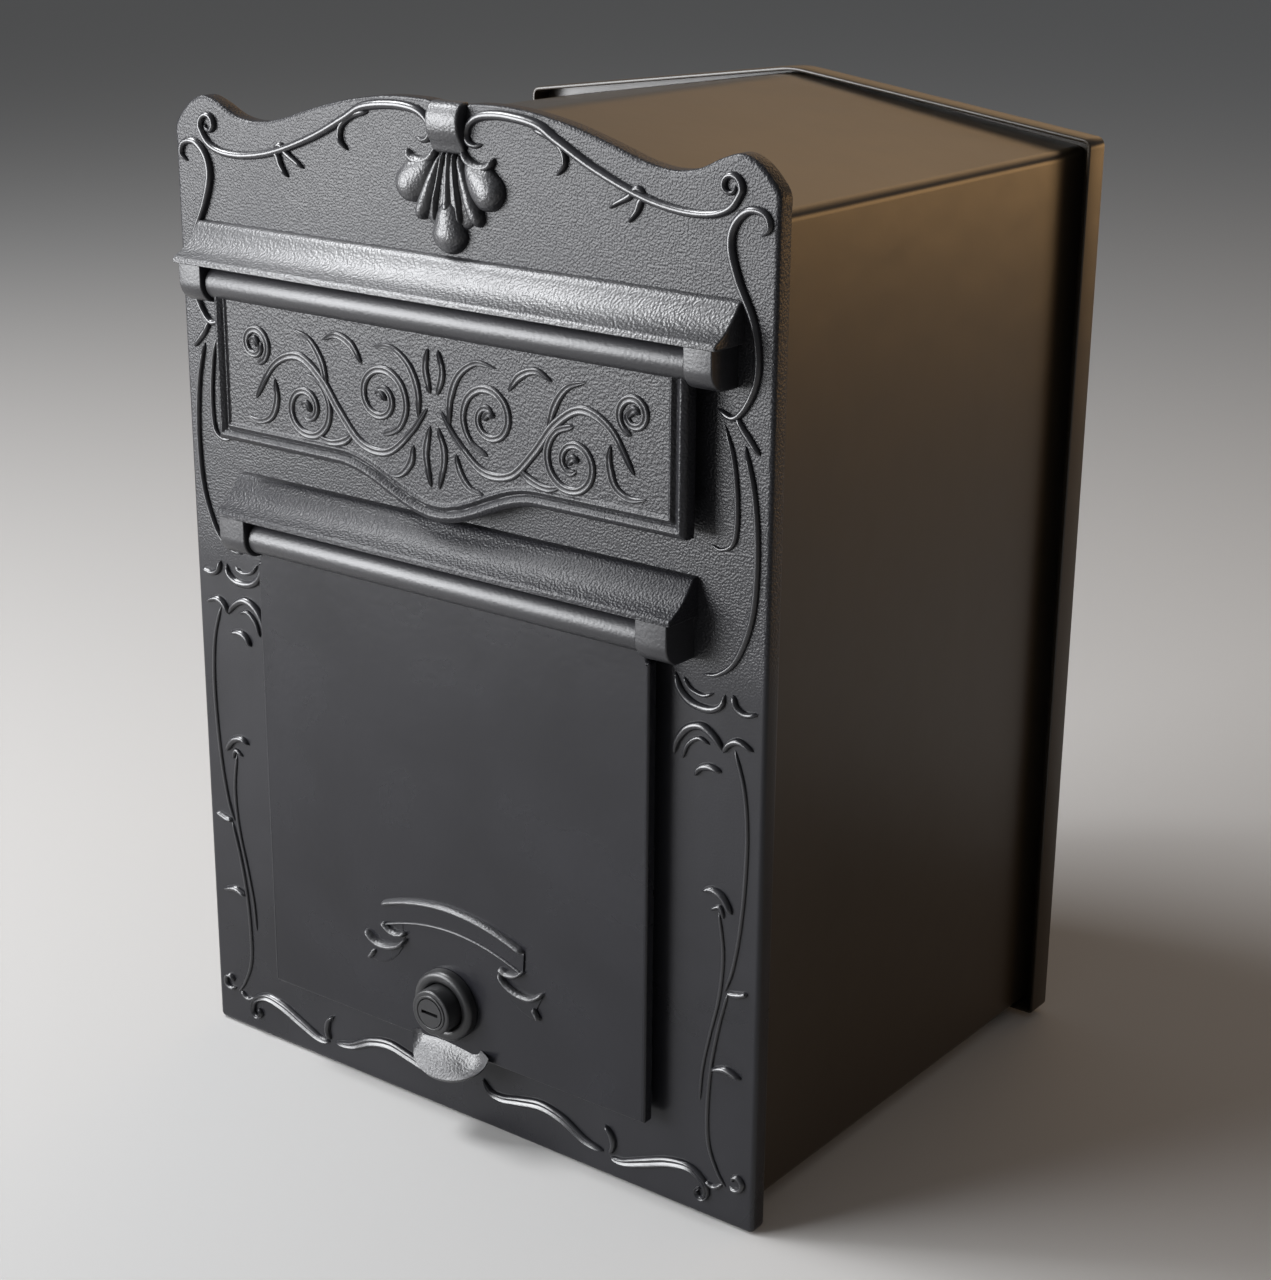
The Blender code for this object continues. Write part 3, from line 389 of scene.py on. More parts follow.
CASTING = finish("grained_black_casting", (0.010, 0.010, 0.012), (0.015, 0.015, 0.018), (0.24, 0.30),
                 lumps=1250, depth=0.10, fade=(192, 222), specular=0.38)
SMOOTH_CAST = finish("smooth_black_casting", (0.009, 0.009, 0.011), (0.012, 0.012, 0.015), (0.24, 0.29),
                     lumps=420, depth=0.02, specular=0.36)
STRAND_CAST = finish("raised_black_casting", (0.011, 0.011, 0.013), (0.015, 0.015, 0.018), (0.27, 0.32),
                     lumps=600, depth=0.02, specular=0.75)
SATIN_CAST = finish("satin_black_casting", (0.011, 0.011, 0.013), (0.016, 0.016, 0.019), (0.36, 0.43),
                    lumps=900, depth=0.03, specular=0.7)
ROUGH_CAST = finish("rough_black_casting", (0.014, 0.014, 0.016), (0.020, 0.020, 0.023), (0.38, 0.46),
                    lumps=1100, depth=0.08, specular=0.9)
# The sheet is black, but its two blacks are tinted warm brown: a painted warm reflection, added to what the
# warm lamps give.
SHEET = finish("satin_black_sheet_warm_reflection", (0.020, 0.014, 0.008), (0.024, 0.017, 0.010), (0.29, 0.34),
               lumps=60, depth=0.05, patches=5)
LOCK_BLACK = finish("black_lock_plating", (0.010, 0.010, 0.011), (0.018, 0.018, 0.019), (0.28, 0.40),
                    lumps=900, depth=0.01)
ZINC = finish("bright_zinc", (0.42, 0.42, 0.44), (0.60, 0.60, 0.62), (0.30, 0.45), lumps=1400, depth=0.01,
              metallic=1.0)
WIRE = finish("drawn_wire", (0.34, 0.34, 0.35), (0.46, 0.46, 0.47), (0.28, 0.40), lumps=300, depth=0.01,
              stretch=4.0, metallic=1.0)
print("finishes:", ", ".join(material.name for material in bpy.data.materials))

# %% [markdown]
# ## The front plate
#
# A flat casting, 7.6 mm thick, with an eared top and softly rounded edges. The letter slot and the door's
# opening go right through it, and each has a raised rim that keeps rain out. A box with holes cut by
# booleans would need its edges mended; outlines repeated along a quarter circle come out clean.


# %% Front plate
def mirrored(right):
    """Whole outline, anticlockwise, from its right half listed from the bottom up."""
    right = np.asarray(right, dtype=float)
    left = right[::-1] * [-1, 1]
    keep = left[:, 0] < -1e-6
    return np.concatenate([right, left[keep]])


def rectangle(half, low, high, corner, clockwise=False):
    """Rectangle from (-half, low) to (half, high) with a quarter circle at each corner."""
    angle = np.linspace(0, math.pi / 2, 7) + (np.arange(4)[:, None] - 1) * math.pi / 2
    x, foot, top = half - corner, low + corner, high - corner
    centre = np.array([(x, foot), (x, top), (-x, top), (-x, foot)])[:, None]
    loop = (centre + corner * np.stack([np.cos(angle), np.sin(angle)], axis=-1)).reshape(-1, 2)
    return loop[::-1] if clockwise else loop


CREST = [(HALF, TALL - 24.0), (HALF, TALL - 18.5), (HALF - 3.0, TALL - 13.9), (HALF - 8.5, TALL - 9.0),
         (HALF - 15.0, TALL - 6.8), (HALF - 22.5, TALL - 8.9), (HALF - 31.5, TALL - 12.9),
         (HALF - 41.5, TALL - 14.0), (HALF - 52.5, TALL - 12.2), (HALF - 66.5, TALL - 7.9),
         (HALF - 83.5, TALL - 3.4), (30.0, TALL - 0.4), (14.0, TALL), (5.0, TALL - 0.9), (0.0, TALL - 1.4)]
SLOT = (98.0, 262.0, 296.0)
OPENING = (81.5, 35.5, 199.0)
RIM = 3.0
SLOT_REACH, OPENING_REACH = 4.4, 2.8


def front_plate_shapes():
    """Outline with straight foot and sides and a flowing crest, two holes, and a raised rim round each."""
    sides = np.stack([np.full(12, HALF), np.linspace(2.0, TALL - 27, 12)], axis=-1)
    foot = np.array([[HALF - 60, 0.0], [HALF - 2.0, 0.0], [HALF - 0.6, 0.6]])
    outline = mirrored(np.concatenate([foot, sides, flowing(CREST, step=1.5)]))
    holes = [rectangle(*SLOT, corner=1.5, clockwise=True), rectangle(*OPENING, corner=1.5, clockwise=True)]
    shapes = [rounded_plate([outline, *holes], -THICK, 0, radius=1.5)]
    for (half, low, high), reach in ((SLOT, SLOT_REACH), (OPENING, OPENING_REACH)):
        outer = rectangle(half + RIM, low - RIM, high + RIM, corner=2.5)
        inner = rectangle(half, low, high, corner=1.5, clockwise=True)
        shapes.append(rounded_plate([outer, inner], -3.0, reach, radius=0.8, steps=3))
    return shapes


piece("plate_casting", front_plate_shapes(), "case", CASTING, "front_plate")

# %% [markdown]
# ## The two hoods
#
# Each hood is cast in one with the plate: a level ledge at the plate, a hollow slope that throws rain
# forwards, and a thin lip over the hinge. A block at each end holds the hinge pin, and its front follows
# the hinge barrel so that the two look like one rod. Both have one side view all along, so that view is
# drawn once and carried along X.


# %% Hoods and hinge blocks
def bar_along_x(section, low, high, radius=0.5, steps=3):
    """Section of (out, height) points carried from x=low to x=high, its ends rounded over.

    The rings near each end shrink along a quarter circle, as rounded_plate does at its edges.
    """
    section = np.asarray(section, dtype=float)
    inward = side_normals(section)
    area = np.sum(section[:, 0] * np.roll(section[:, 1], -1) - np.roll(section[:, 0], -1) * section[:, 1])
    if area < 0:
        inward = -inward
    end = np.concatenate([[[radius + 0.3, 0.0]], rounding(radius, steps)])
    track = np.concatenate([end + [0, low], end[::-1] * [1, -1] + [0, high]])
    rings = section + inward * track[:, 0, None, None]
    return tube(at(track[:, 1, None], rings[..., 0], rings[..., 1]))


def softened(corners, radius, steps=4):
    """Closed loop whose corners are quadratic curves: each starts and ends radius away from its corner.

    radius is one number or one for each corner, and never takes more than 0.45 of an edge.
    """
    corners = np.asarray(corners, dtype=float)
    ends = []
    for step in (1, -1):
        edge = np.roll(corners, step, axis=0) - corners
        length = np.linalg.norm(edge, axis=1, keepdims=True)
        reach = np.minimum(np.reshape(radius, (-1, 1)), length * 0.45)
        ends.append((corners + edge / length * reach)[:, None])
    start, end = ends
    t = np.linspace(0, 1, steps + 1)[:, None]
    return ((1 - t) ** 2 * start + 2 * t * (1 - t) * corners[:, None] + t**2 * end).reshape(-1, 2)


HOOD_REACH = 15.6
LIP = 2.0
BARREL_R = 6.0
KNUCKLE_R = 7.5


def hood_section(axis, lip):
    """Side view of a hood: ledge, hollow slope, lip and a flat underside, carried up to axis + lip."""
    ledge = [(-4.0, 11.8), (0.0, 11.8)]
    slope = flowing([(2.2, 11.5), (3.4, 10.4), (5.0, 8.2), (7.6, 5.2), (10.6, 2.7), (13.4, 1.0),
                     (HOOD_REACH - 0.5, 0.1)], step=0.7)
    front = [(HOOD_REACH, -0.45), (HOOD_REACH, 0.3 - LIP), (HOOD_REACH - 0.4, -LIP), (-4.0, -LIP)]
    return np.concatenate([ledge, slope, front]) + [0, axis + lip]


def block_section(out, axis, lip):
    """Side view of a hinge block: a knuckle about the hinge, carried up to the hood and back to the plate."""
    turn = np.linspace(0, -math.pi / 2, 15)
    knuckle = np.stack([out + KNUCKLE_R * np.cos(turn), axis + KNUCKLE_R * np.sin(turn)], axis=-1)
    roof = axis + lip - LIP / 2
    return np.concatenate([[(-4.0, roof), (out + KNUCKLE_R, roof)], knuckle, [(-4.0, axis - KNUCKLE_R)]])


def blocks(out, axis, lip, inner, outer):
    """The block's side view carried along X between inner and outer, and the same on the left."""
    section = block_section(out, axis, lip)
    return [bar_along_x(section, *sorted((side * inner, side * outer)), radius=0.5) for side in (-1, 1)]


FLAP_LIP, DOOR_LIP = 8.6, 9.3
for name, axis, lip, half, coating in (("flap_hood", FLAP_AXIS, FLAP_LIP, 120.4, ROUGH_CAST),
                                       ("door_hood", DOOR_AXIS, DOOR_LIP, 104.5, CASTING)):
    hood = bar_along_x(hood_section(axis, lip), -half, half, radius=0.6)
    piece(name, [hood], "case", coating, "front_plate")
piece("hinge_blocks", blocks(FLAP_OUT, FLAP_AXIS, FLAP_LIP, 107.5, 118.5)
      + blocks(DOOR_OUT, DOOR_AXIS, DOOR_LIP, 90.3, 103.0), "case", SATIN_CAST, "front_plate")

# %% [markdown]
# ## The scroll border
#
# Round the plate runs a border of thin cast scrolls: stems, hooks, curled ends and small leaves. Each strand
# is a half-round ridge that follows a given path on the plate, swells in its middle and dies away at
# its tips. A curve with a round bevel would look like wire laid on; a ridge has its foot in the plate and
# its own width and height. The right half is listed, and the left half is its mirror image.


# %% Ridges and curls
BLUNT = 0.06
GROOVE_WIDTH = 0.32


def ridge(path, width, rise, base=-0.5, face=0.0, across=9, tip=0.18, groove=0.0):
    """Half-round ridge along a path of (x, height) points on the plane out=face.

    Across the path the height is rise times the cosine of the angle from the crown. width and rise may be
    lists, read evenly along the path, and both shrink as a quarter circle over the tip share at each end,
    down to a blunt tip. A groove sinks the crown by that share of the rise, as a bell curve across it.
    """
    along = np.gradient(path, axis=0)
    along /= np.linalg.norm(along, axis=1, keepdims=True)
    side = np.stack([-along[:, 1], along[:, 0]], axis=-1)
    t = np.linspace(0, 1, len(path))
    near_end = np.clip(np.minimum(t, 1 - t) / tip, 0, 1)
    fade = np.sqrt(np.clip(1 - (1 - near_end) ** 2, BLUNT**2, 1))
    widths = np.interp(t, np.linspace(0, 1, np.size(width)), np.atleast_1d(width)) * fade / 2
    rises = np.interp(t, np.linspace(0, 1, np.size(rise)), np.atleast_1d(rise)) * fade
    angle = np.linspace(-math.pi / 2, math.pi / 2, across)
    crown = np.cos(angle) - groove * np.exp(-(np.sin(angle) / GROOVE_WIDTH) ** 2)
    offset = np.concatenate([np.sin(angle), [1.0, -1.0]])
    lift = np.concatenate([crown, [0.0, 0.0]])
    floor = np.concatenate([np.zeros(across), [base, base]])
    place = path[:, None] + side[:, None] * offset[:, None] * widths[:, None, None]
    return tube(at(place[..., 0], face + lift * rises[:, None] + floor, place[..., 1]))


def curl(centre, start_radius, end_radius, start, turns):
    """Spiral about a centre: the radius falls evenly while the angle, in degrees, goes round."""
    t = np.linspace(0, 1, 16)
    angle = np.radians(start + 360 * turns * t)
    radius = start_radius + (end_radius - start_radius) * t
    return (np.stack([np.cos(angle), np.sin(angle)], axis=-1) * radius[:, None] + centre).tolist()


def moved_right(shapes, distance):
    """The same shapes with distance added to x."""
    return [(points + [distance * MM, 0, 0], faces) for points, faces in shapes]


def both_sides(strands, **settings):
    """Ridges for each strand and its mirror image. A strand is (points, width, rise) and may add options."""
    shapes = []
    for points, width, rise, *options in strands:
        extra = {**settings, **(options[0] if options else {})}
        for sign in (1, -1):
            path = flowing(np.asarray(points) * [sign, 1])
            shapes.append(ridge(path, width, rise, **extra))
    return shapes


TOP_STRANDS = [
    ([(15, 366.4), (11.5, 365.6), (8.6, 366.8), (8, 370), (10, 373.2), (15, 375.6), (25, 376.3),
      (38, 374.6), (47, 370), (62, 362.6), (80, 356), (95, 353), (107, 353), (114.5, 355.6), (118.3, 360.5)]
     + curl((114.6, 362.4), 4, 1.4, 0, 1.05), [2.2, 3.4, 3.6, 3.2, 3, 3, 2.6, 2],
     [1.6, 2.4, 2.2, 2, 1.8], {"tip": 0.05}),
    ([(36, 373.2), (43, 371.4), (48.6, 367.4), (49.4, 362.6), (46, 359)], [2.6, 2.8, 2.4, 1.4], 1.8),
    ([(82, 356.8), (78.5, 358.2), (75.5, 355.4), (70.6, 352.8), (67.3, 350.8)], [2, 2.6, 1.4], 1.6),
    ([(86, 355.6), (80.6, 355), (78.6, 351), (75.2, 347)], [2, 2.8, 1.4], 1.7),
]
SIDE_STRANDS = [
    ([(126, 348.2), (129.2, 350.8), (127.6, 355), (121.6, 355.6), (116.4, 351), (115, 344), (118, 334),
      (124.4, 321), (126.4, 308), (124, 298), (118, 290.4), (111, 292.4)],
     [2, 3, 3.2, 2.8, 2.4, 2.4, 2.2], [1.6, 2.2, 2, 1.8], {"tip": 0.06}),
    ([(118.5, 291), (121, 287), (124.6, 283), (127.8, 279.6)], [1.8, 2.8, 1.6], 1.6),
    ([(114, 287.6), (117.6, 277), (119.4, 262), (118.6, 250), (114, 246.4), (109.6, 247.4)],
     [1.4, 2, 2.2, 1.4], 1.3),
    ([(122, 282), (126, 266), (127.6, 246), (126.2, 226), (120.6, 210.6), (113.6, 204), (107, 202.6)],
     [1.6, 2.2, 2.2, 2.4, 1.6], 1.5, {"tip": 0.08}),
    ([(96, 201), (98.2, 195.4), (103, 191.6), (110, 190.8), (114.8, 193.2), (116.2, 197.4)],
     [1.6, 3, 3, 1.6], 1.7),
    ([(99.4, 200), (102.6, 196.4), (107.6, 195.2), (111.8, 197)], [1.2, 1.8, 1.2], 1.2),
    ([(119.4, 198), (120.8, 194), (124.4, 192.2), (129.4, 193.4)], [1.8, 2.6, 1.6], 1.6),
    ([(96, 171.6), (97.4, 177), (101.6, 182.4), (107.4, 184.2), (112.8, 181.4), (116.2, 177.2)],
     [1.6, 3, 3.2, 1.8], 1.8),
    ([(99.6, 171), (101.6, 176.4), (106, 179.8), (110.6, 178.4)], [1.2, 1.9, 1.3], 1.2),
    ([(116, 176.8), (118.4, 180.6), (122.6, 182.2), (128, 180)], [1.8, 2.8, 1.6], 1.7),
    ([(104.8, 166), (107, 169.4), (111, 170.6), (115.6, 169.8)], [1.4, 3, 1.8], 1.8),
    ([(120.6, 179), (124.6, 166), (126.2, 150), (125.8, 132), (124.2, 114), (121.6, 99), (118.6, 90)],
     [1.3, 1.6, 1.6, 1.5, 1.3], 0.9, {"tip": 0.06}),
    ([(108.4, 124.8), (112, 126.6), (117, 125), (121, 119.6)], [1.4, 3.2, 1.8], 1.8),
    ([(112, 119), (116, 121), (117.6, 117)], [1.2, 1.8, 1.2], 1.1),
    ([(115.6, 119), (117.6, 104), (116.4, 88), (112.8, 72), (110, 58), (109, 45)],
     [1.2, 1.5, 1.5, 1.3, 1.2], 0.8, {"tip": 0.07}),
    ([(119.6, 90.2), (123.6, 90.4), (128.2, 92.2)], [1.8, 2.8, 1.6], 1.7),
    ([(113.6, 58.8), (119.6, 60.6), (126.4, 59)], [1.6, 3, 1.6], 1.8),
    ([(120, 90), (116.4, 76), (113.6, 60), (112.4, 44), (113, 30), (117, 20), (121, 14.6)],
     [1.2, 1.5, 1.5, 1.5, 1.3], 0.9, {"tip": 0.07}),
    (curl((125.2, 18.4), 3.6, 1.3, 220, 0.95), [1.8, 2.2, 1.8], 1.6),
]
FOOT_STRANDS = [
    ([(9.6, 19.6), (13, 15.4), (19, 14.4), (28, 16.2), (38, 17.8), (48, 15.8), (58, 11), (67, 9.4)],
     [1.6, 3.6, 4.4, 4.6, 4.4, 3.8, 2], 1.8, {"groove": 0.45, "across": 13, "tip": 0.08}),
    ([(67.4, 20.6), (70.2, 18), (71.4, 13.4), (69.8, 9.4)], [1.4, 2.6, 1.6], 1.8),
    ([(70, 8.4), (76, 8.4), (86, 12), (96, 15.8), (105, 17), (111.6, 13.6), (113, 9.6)]
     + curl((110.2, 9), 2.8, 1.2, 10, -0.8), [2, 4, 4.6, 4.4, 3.4, 2.2, 1.8], 1.8,
     {"groove": 0.45, "across": 13, "tip": 0.06}),
    ([(112, 14.2), (116, 13), (119.6, 15.6)], [1.4, 2, 1.4], 1.3),
]
piece("scroll_border", both_sides(TOP_STRANDS + SIDE_STRANDS + FOOT_STRANDS), "case", STRAND_CAST,
      "front_plate")

# %% [markdown]
# ## The shell and its clasp
#
# At the top a band is bent over the plate's edge, and a shell of petals hangs from it: two egg-shaped outer
# petals, two slim ones, and a fluted middle petal that ends in a round drop. A petal is the same ridge with
# a width and a rise that grow towards its tip.


# %% Shell
SHELL_X = 0.6
PETALS = [
    ([(7, 361.5), (11.5, 356), (17, 351), (21.5, 346.2)], [3, 8, 13.5, 13.5, 11], [1.6, 3.6, 5.0, 4.6],
     {"tip": 0.24}),
    ([(3.6, 362), (6.6, 355), (9.8, 347), (13.6, 339)], [1.8, 3.4, 5.2, 6.4, 5.2], [1.8, 3.2, 4.0, 3.6],
     {"tip": 0.16}),
    ([(5.4, 364), (8.2, 360.4), (12.4, 358.6), (17, 359.4), (19.4, 362.4)], [2.2, 3.4, 3.6, 2.4], 2.6),
]
MIDDLE = [
    ([(0, 362), (0, 352), (0, 344), (0, 336)], [5, 15, 24, 19], [1.4, 2.2, 2.4, 1.8], {"tip": 0.2}),
    ([(0, 363), (0, 352), (0, 343)], [1.8, 3.2, 4.8], [2.2, 3.4, 4.2], {"tip": 0.06}),
    ([(0, 349), (0, 342), (0, 334), (0, 328.6)], [5, 11, 15, 13], [2.6, 4.4, 5.2, 4.6], {"tip": 0.3}),
]
FLUTES = [
    ([(2.2, 363), (3.4, 354), (5.0, 346), (5.6, 339)], [1.3, 1.9, 2.4, 2.0], [2.4, 3.4, 4.2, 3.6],
     {"tip": 0.1}),
]


def shell_shapes():
    """Petals as swelling ridges, and the band's side view carried along X over the plate's edge."""
    shapes = both_sides(PETALS + FLUTES, across=17)
    for points, width, rise, options in MIDDLE:
        shapes.append(ridge(flowing(points, step=0.4), width, rise, across=17, **options))
    band = [(-2.0, 379.4), (1.6, 379.3), (3.6, 378.0), (4.9, 375.4), (5.2, 372.4), (4.9, 369.8), (3.8, 367.4),
            (2.4, 365.2), (1.4, 362.4), (-0.8, 362.0), (-0.8, 370.0)]
    shapes.append(bar_along_x(softened(band, 1.0, steps=3), -7.0, 7.0, radius=0.9, steps=4))
    return moved_right(shapes, SHELL_X)


piece("shell_and_clasp", shell_shapes(), "case", ROUGH_CAST, "front_plate", crease=50)

# %% [markdown]
# ## The letter flap
#
# The flap hangs from its barrel. Two beads frame it on three sides and dip with the round lobe in its lower
# edge. The front is one grid: across it runs x, up it runs the share of the way from the lower edge to the
# hinge, and its relief depends only on the distance from the nearest edge. Beads laid on as bars would
# have to be joined at the corners; with one formula they meet in clean mitres.


# %% Flap plate and barrel
FLAP_HALF = 106.2
FLAP_FOOT = 250.0
LOBE_HALF, LOBE_DROP = 46.0, 12.9
FLAP_FACE, FLAP_BACK = 10.0, 5.0
FRAME = 9.0


def flap_foot(x):
    """Height of the flap's lower edge: level, with one cosine wave hanging in the middle."""
    dip = LOBE_DROP * (0.5 + 0.5 * np.cos(math.pi * np.clip(x / LOBE_HALF, -1, 1)))
    return FLAP_FOOT - dip


def framed(edge):
    """Out distance by the distance from the edge: a quarter circle at the rim, then three bell curves.

    The bells are a broad bead, a groove and a thin bead, and past them lies the level field.
    """
    rim = np.sqrt(np.clip(1 - (1 - np.clip(edge / 1.3, 0, 1)) ** 2, 0, 1))
    bead = 0.9 * np.exp(-((edge - 2.0) / 1.1) ** 2)
    groove = -0.7 * np.exp(-((edge - 4.3) / 0.6) ** 2)
    thin = 0.75 * np.exp(-((edge - 5.9) / 0.62) ** 2)
    return FLAP_FACE - 1.0 + (0.9 * rim) + bead + groove + thin


def flap_shape():
    """Grid with rows from the curved foot to the hinge; its front height is framed by the nearest edge.

    Near the edges the points lie close together, so that the beads come out round. The distance to the
    sloping foot is the height above it divided by the root of 1 plus the slope squared.
    """
    close = np.linspace(0, FRAME, 37)
    inner = FLAP_HALF - FRAME
    x = np.concatenate([close - FLAP_HALF, np.linspace(0.8 - inner, inner - 0.8, 190), close + inner])[None]
    rise = np.concatenate([close, np.linspace(10, 52, 34)])[:, None] / 52
    foot = flap_foot(x)
    height = foot + (FLAP_AXIS - 2.5 - foot) * rise
    slope = np.gradient(foot[0], x[0])[None, :]
    edge = np.minimum((height - foot) / np.sqrt(1 + slope**2), np.minimum(x + FLAP_HALF, FLAP_HALF - x))
    return slab(at(x, framed(np.maximum(edge, 0)), height), at(x, FLAP_BACK, height))


def barrel(half, out, axis, radius=BARREL_R, bore=2.3, ease=0.7):
    """Hollow rod along X about a hinge, with its outer corners rounded."""
    turn = np.linspace(0, math.pi / 2, 5)
    corner = [(radius - ease + ease * math.sin(a), half - ease + ease * math.cos(a)) for a in turn]
    profile = [(bore, half)] + corner + [(r, -x) for r, x in corner[::-1]] + [(bore, -half)]
    return turned(profile, (out, axis), axis="X")


piece("flap_casting", [flap_shape()], "letter_flap", CASTING, "letter_flap", crease=45)
piece("flap_barrel", [barrel(107.0, FLAP_OUT, FLAP_AXIS)], "letter_flap", SATIN_CAST, "letter_flap")

# %% [markdown]
# ### The flap's pattern
#
# In place of lettering the field carries a plain running scroll: a wavy stem with a curl in each hollow and
# small leaves. Its strands are the border's ridges with a groove along the crown.


# %% Running scroll on the flap
def running_scroll():
    """A flowing stem, a spiral in each of its hollows, and leaves; all are ridges with a groove."""
    stem = [(3, 277), (11, 267), (22, 258.5), (34, 259.5), (44, 269), (53, 280), (64, 286.5), (76, 282),
            (86, 268)]
    strands = [(stem, [1.8, 3.4, 3.6, 3.6, 2.0], 1.2, {"tip": 0.05})]
    curls = [((24.5, 277.5), 13.2, 268, -1.6), ((60.5, 268.0), 12.6, 88, 1.6),
             ((85.5, 288.0), 7.0, 262, -1.3)]
    for (x, z), radius, start, turns in curls:
        strands.append((curl((x, z), radius, 2.6, start, turns), [2.4, 3.4, 3.2, 2.6], 1.2, {"tip": 0.05}))
        strands.append(([(x - 2.4, z - 1), (x, z + 1.8), (x + 2.6, z + 0.6)], [1.8, 3.4, 1.8], 1.5))
    leaves = [
        [(37, 263), (43, 259), (50, 257.6), (56, 259.4)], [(33, 288), (38, 294), (45, 296.6), (52, 294)],
        [(7, 272), (7.4, 282), (11.4, 290.6), (19, 295.6), (28, 295)],
        [(50, 277), (52.6, 286), (58, 293), (66, 296)],
        [(76, 277), (75.4, 270), (78, 263), (84, 260), (91, 261)], [(1.6, 282), (3.8, 290.4), (2.2, 298)],
        [(1.8, 271), (4.2, 261), (1.8, 249)], [(9.6, 263), (11.4, 256.4), (16, 251.6), (22, 250.6)],
    ]
    strands += [(leaf, [1.6, 3.6, 2.8, 1.4], 1.2) for leaf in leaves]
    return both_sides(strands, face=FLAP_FACE - 0.1, groove=0.5, across=13)


piece("flap_scroll", running_scroll(), "letter_flap", SATIN_CAST, "letter_flap", crease=50)

# %% [markdown]
# ## The door
#
# A flat plate with softly rounded edges hangs from its own barrel. Its upper corners are cut back so that
# they swing clear of the hinge blocks. A hole takes the lock.


# %% Door plate
DOOR_HALF, DOOR_BARREL, DOOR_FOOT = 91.0, 89.8, 32.5
DOOR_FACE, DOOR_BACK = 8.0, 3.4
SHOULDER = DOOR_AXIS - 9.6
LOCK_HOLE_R = 8.1


def door_shape():
    """Outline from the right foot round to the left, with stepped shoulders, and a circle for the lock."""
    top = DOOR_AXIS - 1.5
    outline = mirrored([(DOOR_HALF, DOOR_FOOT), (DOOR_HALF, SHOULDER), (DOOR_BARREL, SHOULDER),
                        (DOOR_BARREL, top)])
    turn = np.linspace(0, -2 * math.pi, 48, endpoint=False)
    hole = np.stack([np.cos(turn), np.sin(turn)], axis=-1) * LOCK_HOLE_R + [0, LOCK_HEIGHT]
    return rounded_plate([softened(outline, 1.2, steps=4), hole], DOOR_BACK, DOOR_FACE, radius=0.9)


piece("door_casting", [door_shape()], "door", SMOOTH_CAST, "door")
piece("door_barrel", [barrel(DOOR_BARREL, DOOR_OUT, DOOR_AXIS)], "door", SATIN_CAST, "door")

# %% [markdown]
# ### The blank ribbon
#
# Above the lock is a raised ribbon with folded, swallow-tailed ends. It is left blank. Its face is a strip
# between two parabolas, its upper edge is a bright bead, and each tail is a shorter strip with a notch.


# %% Ribbon
RIBBON_X = 2.3
RIBBON_HALF, RIBBON_TOP, RIBBON_FALL = 34.5, 90.3, 7.0


def ribbon_top(x):
    """Upper edge of the ribbon: a parabola that falls from the middle to its ends."""
    return RIBBON_TOP - RIBBON_FALL * (x / RIBBON_HALF) ** 2


def strip(lower, upper, rise, base=0.5, notch=0.0, cols=13):
    """Raised strip between two edges of (x, height) points, rounded over near both edges.

    v runs across from edge to edge and u along. The lift is a quarter circle over the first and last
    eighth of v. A notch cuts the far end back: by most half way across, and growing as the cube of u.
    """
    lower, upper = np.asarray(lower, dtype=float), np.asarray(upper, dtype=float)
    v = np.linspace(0, 1, cols)[None, :, None]
    u = np.linspace(0, 1, len(lower))[:, None, None]
    place = lower[:, None] * (1 - v) + upper[:, None] * v
    if notch:
        back = lower[-3] + upper[-3] - lower[-1] - upper[-1]
        place = place + back / np.linalg.norm(back) * notch * (1 - np.abs(2 * v - 1)) * u**3
    dome = np.clip(np.minimum(v, 1 - v)[..., 0] * 8, 0, 1)
    lift = np.sqrt(1 - (1 - dome) ** 2) * rise
    x, height = place[..., 0], place[..., 1]
    return slab(at(x, DOOR_FACE - 0.2 + lift, height), at(x, DOOR_FACE - base, height))


def ribbon_faces():
    """The blank face between two parabolas, then a tail and a fold on each side."""
    x = np.linspace(-RIBBON_HALF, RIBBON_HALF, 70)
    top = ribbon_top(x)
    shapes = [strip(np.stack([x * 0.985, top - 9.6], -1), np.stack([x, top], -1), 0.9)]
    upper = flowing([(23.4, 72.0), (27, 68.4), (32, 66.0), (38, 65.8), (43.6, 69.2)], step=0.4)
    lower = flowing([(25.0, 66.5), (28, 62.4), (33, 58.6), (38, 57.2), (42.6, 58.6)], step=0.4)
    even = np.linspace(0, 1, 24)
    low, high = (np.stack([np.interp(even, np.linspace(0, 1, len(e)), e[:, k]) for k in (0, 1)], -1)
                 for e in (lower, upper))
    fold_low = np.array([(34.0, 73.6), (30.0, 72.0), (24.4, 73.4)])
    fold_high = np.array([(34.3, 81.2), (30.2, 80.2), (24.6, 77.8)])
    for side in ([1, 1], [-1, 1]):
        shapes.append(strip(low * side, high * side, 0.6, base=0.7, notch=3.6))
        shapes.append(strip(fold_low * side, fold_high * side, 0.35))
    return moved_right(shapes, RIBBON_X)


def ribbon_beads():
    """Ridges along the face's two parabolas and along the edges of the folds and tails."""
    x = np.linspace(-RIBBON_HALF, RIBBON_HALF, 70)
    top = ribbon_top(x)
    shapes = [ridge(np.stack([x, top - 0.6], -1), 2.2, 2.5, face=DOOR_FACE, tip=0.03),
              ridge(np.stack([x * 0.985, top - 9.2], -1), 1.0, 1.2, face=DOOR_FACE, tip=0.03)]
    folds = [
        ([(34.4, 75.4), (30.6, 72.8), (26.6, 72.2), (22.6, 73.6)], [1.4, 2.4, 2.0], 2.5),
        ([(22.4, 71.6), (26.2, 67.8), (32, 65.6), (38, 65.8), (43.4, 69.4)], [1.4, 2.4, 2.4, 1.8], 2.5),
        ([(38.4, 62.6), (41.6, 58.0)], 2.0, 2.0),
    ]
    return moved_right(shapes + both_sides(folds, face=DOOR_FACE, tip=0.1), RIBBON_X)


